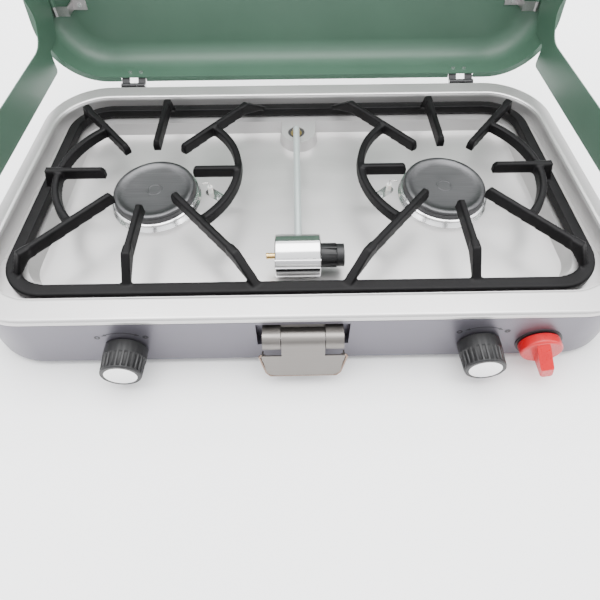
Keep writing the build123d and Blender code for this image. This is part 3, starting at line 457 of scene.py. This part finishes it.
# ------------------------------------------------------------------ sub-assemblies
@dataclass
class Case:
    """The lower case with its feet, and the cooktop pan that closes it."""

    mark_ring: float = 2.6 * MM
    mark_line: float = 0.9 * MM
    mark_height: float = 0.12 * MM
    mark_reach: float = 26.5 * MM
    mark_aside: float = 20.5 * MM
    mark_above: float = 19.0 * MM
    mark_sweep: float = 28.0
    # The case's real finish is silver-grey, but its tone is set far darker: painted shade for the case's upright front
    # and sides.
    paint: SatinPaint = SatinPaint("silver paint darkened by painted shade", (0.140, 0.133, 0.156), 0.36, 0.8, 0.05)
    steel: WorkedMetal = WorkedMetal("brushed pan steel", (0.58, 0.57, 0.565), 0.36, Grain.ALONG_X, 0.022,
                                     hairline=0.03, cloud=0.06, metallic=0.72)
    rubber: Moulded = Moulded("foot rubber", (0.022, 0.022, 0.023), 0.7, 0.3, 700.0)
    screw: WorkedMetal = WorkedMetal("screw steel", (0.72, 0.72, 0.72), 0.28, Grain.NONE, 0.06)
    ink: Moulded = Moulded("printing ink", (0.012, 0.012, 0.014), 0.5, 0.05)

    def build(self) -> None:
        """Builds and dresses the case, the pan and the printed marks."""
        reskin("case_shell", self.paint.make(), "base_case", round_edges=0.0)
        reskin("pan_shell", self.steel.make(), "cooktop_pan", sharp=38.0)
        reskin("foot_pads", self.rubber.make(), "rubber_feet")
        dress(self.screw.make(), "foot_screws", "pan_screws")
        ink = self.ink.make()
        for name, _ in SIDES:
            self.build_marks(name, ink)

    def build_marks(self, name: str, ink: bpy.types.Material) -> None:
        """Lays the printed ring, arc and dot over one knob.

        Args:
            name: "left" or "right".
            ink: the printing ink.
        """
        knob = middle("knob_" + name)
        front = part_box("base_case")[0].y
        work = bmesh.new()
        for side, filled in ((-1, False), (1, True)):
            place = Vector((knob.x + side * self.mark_aside, front, knob.z + self.mark_above))
            inner = self.mark_ring * (0.25 if filled else 0.45)
            self.add_arc(work, place, inner, self.mark_ring, 0.0, math.tau, 28)
        centre = Vector((knob.x, front, knob.z))
        self.add_arc(work, centre, self.mark_reach - self.mark_line / 2, self.mark_reach + self.mark_line / 2,
                     math.radians(90 - self.mark_sweep), math.radians(90 + self.mark_sweep), 30)
        for turn in (-1, 1):
            self.add_arrow(work, centre, math.radians(90 + turn * self.mark_sweep), turn)
        bmesh.ops.recalc_face_normals(work, faces=work.faces[:])
        bmesh.ops.solidify(work, geom=work.faces[:], thickness=0.8 * self.mark_height)
        finish_mesh("knob_marks_" + name, work, ink, "base")

    def add_arc(self, work: bmesh.types.BMesh, centre: Vector, inner: float, outer: float, start: float, end: float,
                steps: int) -> None:
        """Adds a flat arc standing a hair proud of the front.

        Args:
            work: the mesh to add to.
            centre: the arc's centre on the front face.
            inner: its inner radius.
            outer: its outer radius.
            start: the first angle from +X towards +Z.
            end: the last angle.
            steps: its divisions.
        """
        lift = -self.mark_height
        low = work.verts.new((math.cos(start) * inner, 0.0, math.sin(start) * inner))
        high = work.verts.new((math.cos(start) * outer, 0.0, math.sin(start) * outer))
        edge = work.edges.new((low, high))
        made = bmesh.ops.spin(work, geom=[low, high, edge], cent=(0, 0, 0), axis=(0, -1, 0), angle=end - start,
                              steps=steps, use_merge=abs(end - start - math.tau) < 1e-6, use_duplicate=False)
        verts = [low, high] + [g for g in made["geom_last"] if isinstance(g, bmesh.types.BMVert)]
        island = self.island(verts)
        bmesh.ops.translate(work, vec=centre + Vector((0, lift, 0)), verts=island)

    @staticmethod
    def island(seeds: Sequence[bmesh.types.BMVert]) -> list[bmesh.types.BMVert]:
        """Every vertex joined by edges to the seeds."""
        found = {v for v in seeds if v.is_valid}
        queue = list(found)
        while queue:
            for edge in queue.pop().link_edges:
                for vert in edge.verts:
                    if vert not in found:
                        found.add(vert)
                        queue.append(vert)
        return list(found)

    def add_arrow(self, work: bmesh.types.BMesh, centre: Vector, angle: float, turn: int) -> None:
        """Adds a small arrow head at one end of an arc.

        Args:
            work: the mesh to add to.
            centre: the arc's centre.
            angle: where the arc ends.
            turn: -1 if the head points clockwise, 1 if anticlockwise.
        """
        length, half = 4.2 * MM, 1.5 * MM
        at = Vector((math.cos(angle), 0, math.sin(angle)))
        along = Vector((-math.sin(angle), 0, math.cos(angle))) * turn
        base = centre + at * self.mark_reach + Vector((0, -self.mark_height, 0))
        corners = (base + at * half, base - at * half, base + along * length)
        work.faces.new([work.verts.new(c) for c in corners])


@dataclass
class Grate:
    """The one-piece cast grate, with the soft edges and fillets of a casting."""

    voxel: float = 1.2 * MM
    soften_steps: int = 1
    nodes: tuple[str, ...] = ("grate_frame", "grate_outer_supports_left", "grate_outer_supports_right",
                              "grate_inner_supports_left", "grate_inner_supports_right")
    iron: CastBlack = CastBlack("black cast iron")

    def build(self) -> None:
        """Joins the five CAD solids into one casting and softens it."""
        work = cad_copy(self.nodes)
        mesh = bpy.data.meshes.new("grate_casting")
        work.to_mesh(mesh)
        work.free()
        mesh.materials.append(self.iron.make())
        casting = bpy.data.objects.new("grate_casting", mesh)
        bpy.context.scene.collection.objects.link(casting)
        remesh = casting.modifiers.new("one casting", "REMESH")
        remesh.mode = "VOXEL"
        remesh.voxel_size = self.voxel
        remesh.use_smooth_shade = True
        soften = casting.modifiers.new("soft edges", "SMOOTH")
        soften.factor = 0.5
        soften.iterations = self.soften_steps
        graph = bpy.context.evaluated_depsgraph_get()
        final = bpy.data.meshes.new_from_object(casting.evaluated_get(graph))
        final.name = "grate_casting"
        casting.modifiers.clear()
        casting.data = final
        for polygon in final.polygons:
            polygon.use_smooth = True
        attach(casting, "grate")
        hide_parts(*self.nodes)
        log.info("piece grate_casting: %d faces", len(final.polygons))


@dataclass
class Burner:
    """One burner: seat ring, flame ring with its rows of ports, and dished cap."""

    name: str
    ports_round: int = 90
    port_rows: int = 3
    band_flare: float = 1.5 * MM
    neck_inset: float = 0.5 * MM
    throat: float = 24.0 * MM

    def radius(self, node: str) -> float:
        """The outer radius of one of the burner's round CAD nodes."""
        low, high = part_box(node + self.name)
        return (high.x - low.x) / 2

    def build(self, cap: Callable[[Vector], bpy.types.Material], ring: Callable[[Vector], bpy.types.Material],
              body: bpy.types.Material) -> None:
        """Builds the burner's visible rings.

        Args:
            cap: makes the cap's finish about a centre.
            ring: makes the flame ring's finish about a centre.
            body: the finish of the cup and mixing tube.
        """
        centre = middle("burner_cap_" + self.name)
        cap_low, cap_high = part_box("burner_cap_" + self.name)
        band_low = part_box("burner_port_ring_" + self.name)[0].z
        cap_finish = cap(centre)
        reskin("burner_seat_" + self.name, ring(centre), "burner_base_ring_" + self.name, sharp=20.0)
        dress(body, "burner_body_" + self.name)
        self.build_cap(centre, cap_low.z, cap_high.z, cap_finish)
        self.build_band(centre, band_low, cap_low.z, cap_finish, ring(centre))

    def build_cap(self, centre: Vector, low: float, high: float, finish: bpy.types.Material) -> None:
        """Turns the dished cap with its raised rings.

        Args:
            centre: the burner's centre.
            low: height of the cap's seat.
            high: height of its rim.
            finish: the dark turned metal.
        """
        rise = high - low
        r = self.radius("burner_cap_")
        profile = [(0.0, low + 0.2 * MM), (r - 0.6 * MM, low), (r, low + 0.6 * MM), (r, low + 0.42 * rise)]
        for step in range(5):
            angle = math.radians(18 * step)
            profile.append((r - 2.6 * MM * (1 - math.cos(angle)), low + 0.42 * rise + 0.58 * rise * math.sin(angle)))
        profile += [(r - 4.2 * MM, high), (r - 5.2 * MM, high - 0.3 * MM), (r - 7.0 * MM, high - 1.1 * MM),
                    (r - 9.5 * MM, high - 1.7 * MM), (r - 13.0 * MM, high - 2.1 * MM), (r * 0.35, high - 2.35 * MM)]
        for radius, lift in ((8.2, 0.0), (7.8, 0.35), (6.6, 0.35), (6.2, 0.0), (3.0, 0.0)):
            profile.append((radius * MM, high - 2.4 * MM + lift * MM))
        profile.append((0.0, high - 2.4 * MM))
        work = lathe(profile, Vector((centre.x, centre.y, 0)), Vector((0, 0, 1)), 128)
        piece = finish_mesh("cap_" + self.name, work, finish, "base", 40.0)
        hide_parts("burner_cap_" + self.name)

    def build_band(self, centre: Vector, low: float, high: float, dark: bpy.types.Material,
                   bright: bpy.types.Material) -> None:
        """Builds the neck and lip, and the band with its staggered rows of ports.

        Args:
            centre: the burner's centre.
            low: height of the ring's foot.
            high: height of the band's top.
            dark: finish of the port band.
            bright: finish of the lip.
        """
        lip_low, lip_high = low + 3.5 * MM, low + 5.3 * MM
        band, lip, edge = self.radius("burner_cap_") + self.band_flare, self.radius("burner_port_ring_"), 0.4 * MM
        neck, base = band - self.band_flare - self.neck_inset, lip_high + 0.3 * MM
        profile = [(self.throat, low), (neck, low), (neck, lip_low), (lip - edge, lip_low), (lip, lip_low + edge),
                   (lip, lip_high - edge), (lip - edge, lip_high), (band - 1.2 * MM, base), (self.throat, base),
                   (self.throat, low)]
        ring = lathe(profile, Vector((centre.x, centre.y, 0)), Vector((0, 0, 1)), 128)
        seat = finish_mesh("flame_ring_" + self.name, ring, bright, "base", 40.0)
        work = bmesh.new()
        step = math.tau / self.ports_round
        row = (high - base) / self.port_rows
        for index in range(self.port_rows):
            corners = []
            for angle, height in ((0, 0), (step, 0), (step, 1), (0, 1)):
                radius = band - 0.8 * MM * (index + height) / self.port_rows
                place = (radius * math.cos(angle), radius * math.sin(angle), base + row * (index + height))
                corners.append(work.verts.new(place))
            cell = work.faces.new(corners)
            bmesh.ops.inset_region(work, faces=[cell], thickness=row * 0.2, depth=0.0)
            bmesh.ops.inset_region(work, faces=[cell], thickness=row * 0.12, depth=-0.7 * MM)
        bmesh.ops.spin(work, geom=work.verts[:] + work.edges[:] + work.faces[:], cent=(0, 0, 0), axis=(0, 0, 1),
                       angle=math.tau, steps=self.ports_round, use_duplicate=True)
        bmesh.ops.remove_doubles(work, verts=work.verts[:], dist=2e-6)
        rims = [edge for edge in work.edges if edge.is_boundary]
        drawn = bmesh.ops.extrude_edge_only(work, edges=rims)["geom"]
        inner = [part for part in drawn if isinstance(part, bmesh.types.BMVert)]
        bmesh.ops.scale(work, vec=(0.8, 0.8, 1), verts=inner)
        loops = [part for part in drawn if isinstance(part, bmesh.types.BMEdge) and part.is_boundary]
        bmesh.ops.bridge_loops(work, edges=loops)
        bmesh.ops.translate(work, vec=Vector((centre.x, centre.y, 0)), verts=work.verts[:])
        finish_mesh("port_band_" + self.name, work, dark, "base", 30.0)
        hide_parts("burner_port_ring_" + self.name)


@dataclass
class Burners:
    """Both burners with their spark sets."""

    dark: tuple[float, float, float] = (0.105, 0.105, 0.108)
    bright: tuple[float, float, float] = (0.78, 0.78, 0.78)
    wire: WorkedMetal = WorkedMetal("spark wire", (0.66, 0.65, 0.63), 0.25, Grain.NONE, 0.08)
    strap: WorkedMetal = WorkedMetal("strap steel", (0.74, 0.74, 0.74), 0.2, Grain.NONE, 0.05)
    glaze: Moulded = Moulded("white ceramic", (0.82, 0.80, 0.75), 0.18, 0.03, 600.0, 0.15)
    cup: WorkedMetal = WorkedMetal("plain aluminium", (0.62, 0.62, 0.63), 0.4, Grain.NONE, 0.08)

    def cap_finish(self, centre: Vector) -> bpy.types.Material:
        """The dark brushed metal of a cap."""
        return WorkedMetal("dark cap metal", self.dark, 0.42, Grain.ALONG_X, 0.16, tuple(centre), hairline=0.1,
                           cloud=0.06).make()

    def ring_finish(self, centre: Vector) -> bpy.types.Material:
        """The bright turned metal of a ring."""
        return WorkedMetal("turned ring metal", self.bright, 0.22, Grain.SPUN, 0.05, tuple(centre)).make()

    def build(self) -> None:
        """Builds both burners and dresses the spark sets."""
        cup = self.cup.make()
        for name, _ in SIDES:
            Burner(name).build(self.cap_finish, self.ring_finish, cup)
        reskin("spark_straps", self.strap.make(), "electrode_brackets")
        reskin("spark_tubes", self.glaze.make(), "electrode_insulators")
        reskin("spark_wires", self.wire.make(), "electrode_wires")


@dataclass
class Controls:
    """The two gas knobs and the red igniter knob."""

    flutes: int = 24
    grip_start: float = 0.40
    plastic: Moulded = Moulded("black knob plastic", (0.0045, 0.0045, 0.0048), 0.5, 0.10, 1400.0)
    red: Moulded = Moulded("red igniter plastic", (0.50, 0.003, 0.008), 0.3, 0.04, 900.0, 0.05)
    ring: Moulded = Moulded("black ring plastic", (0.010, 0.010, 0.011), 0.5, 0.05)
    stem: WorkedMetal = WorkedMetal("stem brass", (0.66, 0.50, 0.24), 0.3, Grain.NONE, 0.08)

    def build(self) -> None:
        """Builds both knobs and dresses the igniter."""
        plastic = self.plastic.make()
        for name, _ in SIDES:
            self.build_knob(name, plastic)
            disc = middle("knob_disc_" + name)
            finish = WorkedMetal("spun disc steel", (0.86, 0.86, 0.86), 0.32, Grain.SPUN, 0.04, tuple(disc), "Y")
            reskin("disc_" + name, finish.make(), "knob_disc_" + name, sharp=20.0)
            dress(self.stem.make(), "valve_stem_" + name)
        reskin("red_knob", self.red.make(), "igniter_knob", sharp=40.0)
        reskin("igniter_ring", self.ring.make(), "igniter_bezel")
        dress(self.stem.make(), "igniter_stem")

    def build_knob(self, name: str, plastic: bpy.types.Material) -> None:
        """Builds a knob with a plain skirt and a fluted grip.

        Args:
            name: "left" or "right".
            plastic: its finish.
        """
        low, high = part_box("knob_" + name)
        depth = high.y - low.y
        radius = (high.x - low.x) / 2
        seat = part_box("knob_disc_" + name)
        seat_radius = (seat[1].x - seat[0].x) / 2
        start = depth * self.grip_start
        wedge = math.tau / self.flutes
        work = bmesh.new()
        sections = ((0.0, 1.0, 0.0), (start, 1.0, 0.0), (start + 1.2 * MM, 0.985, 1.0), (depth - 3.2 * MM, 0.955, 1.0),
                    (depth - 1.6 * MM, 0.95, 0.0), (depth - 0.4 * MM, 0.93, 0.0), (depth, 0.90, 0.0))
        rows = []
        for height, share, groove in sections:
            row = []
            for part, dip in ((0.0, 0.0), (0.30, 0.0), (0.42, 1.0), (0.88, 1.0), (1.0, 0.0)):
                reach = radius * share - dip * groove * 0.95 * MM
                angle = wedge * part
                row.append(work.verts.new((reach * math.cos(angle), reach * math.sin(angle), height)))
            rows.append(row)
        for lower, upper in zip(rows, rows[1:]):
            bottom = [work.edges.get(pair) or work.edges.new(pair) for pair in zip(lower, lower[1:])]
            top = [work.edges.get(pair) or work.edges.new(pair) for pair in zip(upper, upper[1:])]
            bmesh.ops.bridge_loops(work, edges=bottom + top)
        bmesh.ops.spin(work, geom=work.verts[:] + work.edges[:] + work.faces[:], cent=(0, 0, 0), axis=(0, 0, 1),
                       angle=math.tau, steps=self.flutes, use_duplicate=True)
        bmesh.ops.remove_doubles(work, verts=work.verts[:], dist=2e-6)
        inner = lathe([(radius * 0.90, depth), (seat_radius, depth), (seat_radius, depth - 1.2 * MM),
                       (0.0, depth - 1.2 * MM)], Vector(), Vector((0, 0, 1)), self.flutes * 4)
        back = lathe([(radius, 0.0), (0.0, 0.0)], Vector(), Vector((0, 0, 1)), self.flutes * 4)
        for extra in (inner, back):
            mesh = bpy.data.meshes.new("knob ring")
            extra.to_mesh(mesh)
            extra.free()
            work.from_mesh(mesh)
            bpy.data.meshes.remove(mesh)
        turn = Vector((0, 0, 1)).rotation_difference(Vector((0, -1, 0))).to_matrix().to_4x4()
        place = Matrix.Translation(Vector(((low.x + high.x) / 2, high.y, (low.z + high.z) / 2)))
        bmesh.ops.transform(work, matrix=place @ turn, verts=work.verts[:])
        piece = finish_mesh("grip_" + name, work, plastic, name + "_knob", 38.0)
        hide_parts("knob_" + name)


@dataclass
class GasParts:
    """The regulator on its swinging tube, and what lies inside the case."""

    polished: WorkedMetal = WorkedMetal("polished regulator metal", (0.80, 0.80, 0.80), 0.16, Grain.NONE, 0.03,
                                        hairline=0.02, cloud=0.03)
    # The tube's light greenish-grey base, with metallic lowered to 0.55 so that it shows, is a painted reflection of
    # the green lid.
    tube: WorkedMetal = WorkedMetal("drawn tube steel with painted lid reflection", (0.56, 0.62, 0.61), 0.34, Grain.NONE, 0.05, metallic=0.55)
    brass: WorkedMetal = WorkedMetal("machined brass", (0.78, 0.56, 0.24), 0.25, Grain.NONE, 0.08)
    cap: Moulded = Moulded("ribbed cap plastic", (0.004, 0.004, 0.0045), 0.5, 0.08)
    lead: Moulded = Moulded("lead sheath", (0.03, 0.03, 0.03), 0.55, 0.05)

    def build(self) -> None:
        """Dresses the whole gas path and adds the pin's rings."""
        reskin("regulator_drum", self.polished.make(), "regulator_body", sharp=25.0)
        reskin("regulator_arm", self.tube.make(), "regulator_tube")
        brass = self.brass.make()
        reskin("arm_ball", brass, "swivel_ball")
        self.build_pin(brass)
        reskin("ribbed_cap", self.cap.make(), "regulator_dust_cap", sharp=28.0)
        for node in ("inlet_elbow", "gas_manifold", "supply_pipe", "gas_jets", "gas_valve_left", "gas_valve_right"):
            reskin(node + "_brass", brass, node)
        rubber = self.lead.make()
        dress(rubber, "ignition_leads", "inlet_o_ring", "piezo_igniter")

    def build_pin(self, brass: bpy.types.Material) -> None:
        """Turns the brass inlet pin with its collar rings.

        Args:
            brass: its finish.
        """
        low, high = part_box("regulator_inlet_pin")
        radius = (high.z - low.z) / 2
        length = high.x - low.x
        ring = radius * 0.86
        profile = [(radius * 0.42, 4.0 * MM), (radius * 0.42, 0.3 * MM), (radius * 0.55, 0.0), (radius * 0.92, 0.0),
                   (radius, 0.3 * MM), (radius, 2.4 * MM), (ring, 2.7 * MM), (ring, 3.6 * MM), (radius, 3.9 * MM),
                   (radius, 5.8 * MM), (ring, 6.1 * MM), (ring, 7.0 * MM), (radius, 7.3 * MM), (radius, length),
                   (0.0, length)]
        start = Vector((low.x, (low.y + high.y) / 2, (low.z + high.z) / 2))
        work = lathe([(0.0, 4.0 * MM)] + profile, start, Vector((1, 0, 0)), 40)
        piece = finish_mesh("inlet_pin", work, brass, "regulator", 35.0)
        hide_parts("regulator_inlet_pin")


@dataclass
class Latch:
    """The front latch: bracket, plate and wire bail."""

    steel: WorkedMetal = WorkedMetal("latch steel", (0.19, 0.178, 0.166), 0.36, Grain.ALONG_X, 0.06)
    wire: WorkedMetal = WorkedMetal("bail wire", (0.24, 0.175, 0.14), 0.25, Grain.NONE, 0.06)
    pin: WorkedMetal = WorkedMetal("pin steel", (0.66, 0.66, 0.66), 0.3, Grain.NONE, 0.05)

    def build(self) -> None:
        """Dresses the latch."""
        steel = self.steel.make()
        reskin("latch_ears", steel, "latch_bracket", sharp=30.0)
        reskin("latch_flap", steel, "latch_plate", sharp=30.0)
        reskin("latch_wire", self.wire.make(), "latch_bail")
        dress(self.pin.make(), "latch_pin")


@dataclass
class Lid:
    """The lid with its hinges, and both windscreens."""

    paint: SatinPaint = SatinPaint("sage green paint", (0.050, 0.106, 0.071), 0.42, 0.0, 0.08)
    hinge: SatinPaint = SatinPaint("black hinge paint", (0.014, 0.014, 0.015), 0.4, 0.0, 0.05)
    rivet: WorkedMetal = WorkedMetal("rivet steel", (0.80, 0.80, 0.80), 0.25, Grain.NONE, 0.05)
    clip: WorkedMetal = WorkedMetal("clip steel", (0.52, 0.50, 0.50), 0.38, Grain.NONE, 0.08)

    def build(self) -> None:
        """Dresses the lid, the screens and their small parts."""
        paint = self.paint.make()
        reskin("lid_pressing", paint, "lid_shell", sharp=34.0)
        for name, _ in SIDES:
            reskin("screen_" + name, paint, "windscreen_" + name, sharp=30.0)
            reskin("clips_" + name, self.clip.make(), "screen_clips_" + name)
        black = self.hinge.make()
        reskin("hinge_leaves_low", black, "hinge_base_leaves")
        reskin("hinge_leaves_high", black, "hinge_lid_leaves")
        rivet = self.rivet.make()
        reskin("lid_rivet_heads", rivet, "lid_rivets")
        dress(rivet, "base_leaf_rivets", "hinge_pins", "screen_rods")


@dataclass
class Studio:
    """Pale floor, soft lights and the camera."""

    focal: float = 30.34
    shift: float = -0.1663
    pitch: float = 46.8
    yaw: float = 0.64
    roll: float = 0.38
    sky_strength: float = 2.1
    horizon: tuple[float, float, float, float] = (0.34, 0.34, 0.35, 1.0)
    zenith: tuple[float, float, float, float] = (0.97, 0.98, 1.0, 1.0)
    stand: Vector = field(default_factory=lambda: Vector((-0.0041, -0.4171, 0.4409)))

    def build(self) -> None:
        """Builds the floor, the world, the lights and the camera."""
        self.build_floor()
        self.build_world()
        self.build_lights()
        self.build_camera()

    def build_floor(self) -> None:
        """Lays a wide pale floor at the feet's level."""
        work = bmesh.new()
        bmesh.ops.create_grid(work, x_segments=1, y_segments=1, size=4.0)
        mesh = bpy.data.meshes.new("floor")
        work.to_mesh(mesh)
        work.free()
        sheet = ShaderSheet("pale floor")
        patch = sheet.noise(sheet.object_space((1, 1, 1)), 3.0, 2.0)
        sheet.colour(sheet.two_tone(patch, (0.94, 0.94, 0.94), (0.97, 0.97, 0.97)))
        sheet.constant(Roughness=0.6)
        mesh.materials.append(sheet.material)
        floor = bpy.data.objects.new("floor", mesh)
        bpy.context.scene.collection.objects.link(floor)

    def build_world(self) -> None:
        """Surrounds the stove with soft white light."""
        world = bpy.data.worlds.new("studio")
        world.use_nodes = True
        tree = world.node_tree
        background = tree.nodes["Background"]
        background.inputs["Strength"].default_value = self.sky_strength
        direction = tree.nodes.new("ShaderNodeTexCoord")
        split = tree.nodes.new("ShaderNodeSeparateXYZ")
        ramp = tree.nodes.new("ShaderNodeValToRGB")
        ramp.color_ramp.elements[0].position = 0.05
        ramp.color_ramp.elements[0].color = self.horizon
        ramp.color_ramp.elements[1].position = 0.75
        ramp.color_ramp.elements[1].color = self.zenith
        tree.links.new(direction.outputs["Generated"], split.inputs[0])
        tree.links.new(split.outputs["Z"], ramp.inputs["Fac"])
        tree.links.new(ramp.outputs["Color"], background.inputs["Color"])
        bpy.context.scene.world = world

    def add_light(self, name: str, place: Vector, aim: Vector, size: tuple[float, float], power: float,
                  tint: tuple[float, float, float] = (1, 1, 1)) -> None:
        """Adds a soft box.

        Args:
            name: the light's name.
            place: where it stands.
            aim: the point that it faces.
            size: its width and height.
            power: its power in watts.
            tint: its colour.
        """
        data = bpy.data.lights.new(name, "AREA")
        data.shape = "RECTANGLE"
        data.size, data.size_y = size
        data.energy = power
        data.color = tint
        light = bpy.data.objects.new(name, data)
        light.location = place
        light.rotation_mode = "QUATERNION"
        light.rotation_quaternion = (aim - place).to_track_quat("-Z", "Y")
        bpy.context.scene.collection.objects.link(light)

    def build_lights(self) -> None:
        """Hangs a large box overhead, one behind and two weak ones at the sides."""
        aim = Vector((0, -0.03, 0.06))
        self.add_light("overhead box", Vector((0, 0.10, 1.9)), aim, (2.4, 1.6), 88.0)
        self.add_light("back box", Vector((0, 1.6, 1.3)), aim, (2.2, 1.0), 50.0)
        self.add_light("left box", Vector((-1.7, -0.5, 1.0)), aim, (0.9, 1.2), 12.0)
        self.add_light("right box", Vector((1.7, -0.4, 1.0)), aim, (0.9, 1.2), 15.0)

    def build_camera(self) -> None:
        """Stands the camera in front of and above the stove."""
        data = bpy.data.cameras.new("camera")
        data.lens = self.focal
        data.sensor_width = 36.0
        data.shift_y = self.shift
        data.clip_start = 0.02
        camera = bpy.data.objects.new("camera", data)
        pitch, yaw = math.radians(self.pitch), math.radians(self.yaw)
        ahead = Vector((math.sin(yaw) * math.cos(pitch), math.cos(yaw) * math.cos(pitch), -math.sin(pitch)))
        camera.rotation_mode = "QUATERNION"
        turned = ahead.to_track_quat("-Z", "Y")
        camera.rotation_quaternion = Matrix.Rotation(math.radians(self.roll), 3, ahead).to_quaternion() @ turned
        camera.location = self.stand
        bpy.context.scene.collection.objects.link(camera)
        bpy.context.scene.camera = camera


def main() -> None:
    """Builds the stove and its studio."""
    logging.basicConfig(level=logging.INFO, format="%(name)s %(message)s")
    for assembly in (Studio(), Case(), Grate(), Burners(), Controls(), GasParts(), Latch(), Lid()):
        assembly.build()
        log.info("built %s", type(assembly).__name__)


if __name__ == "__main__":
    main()
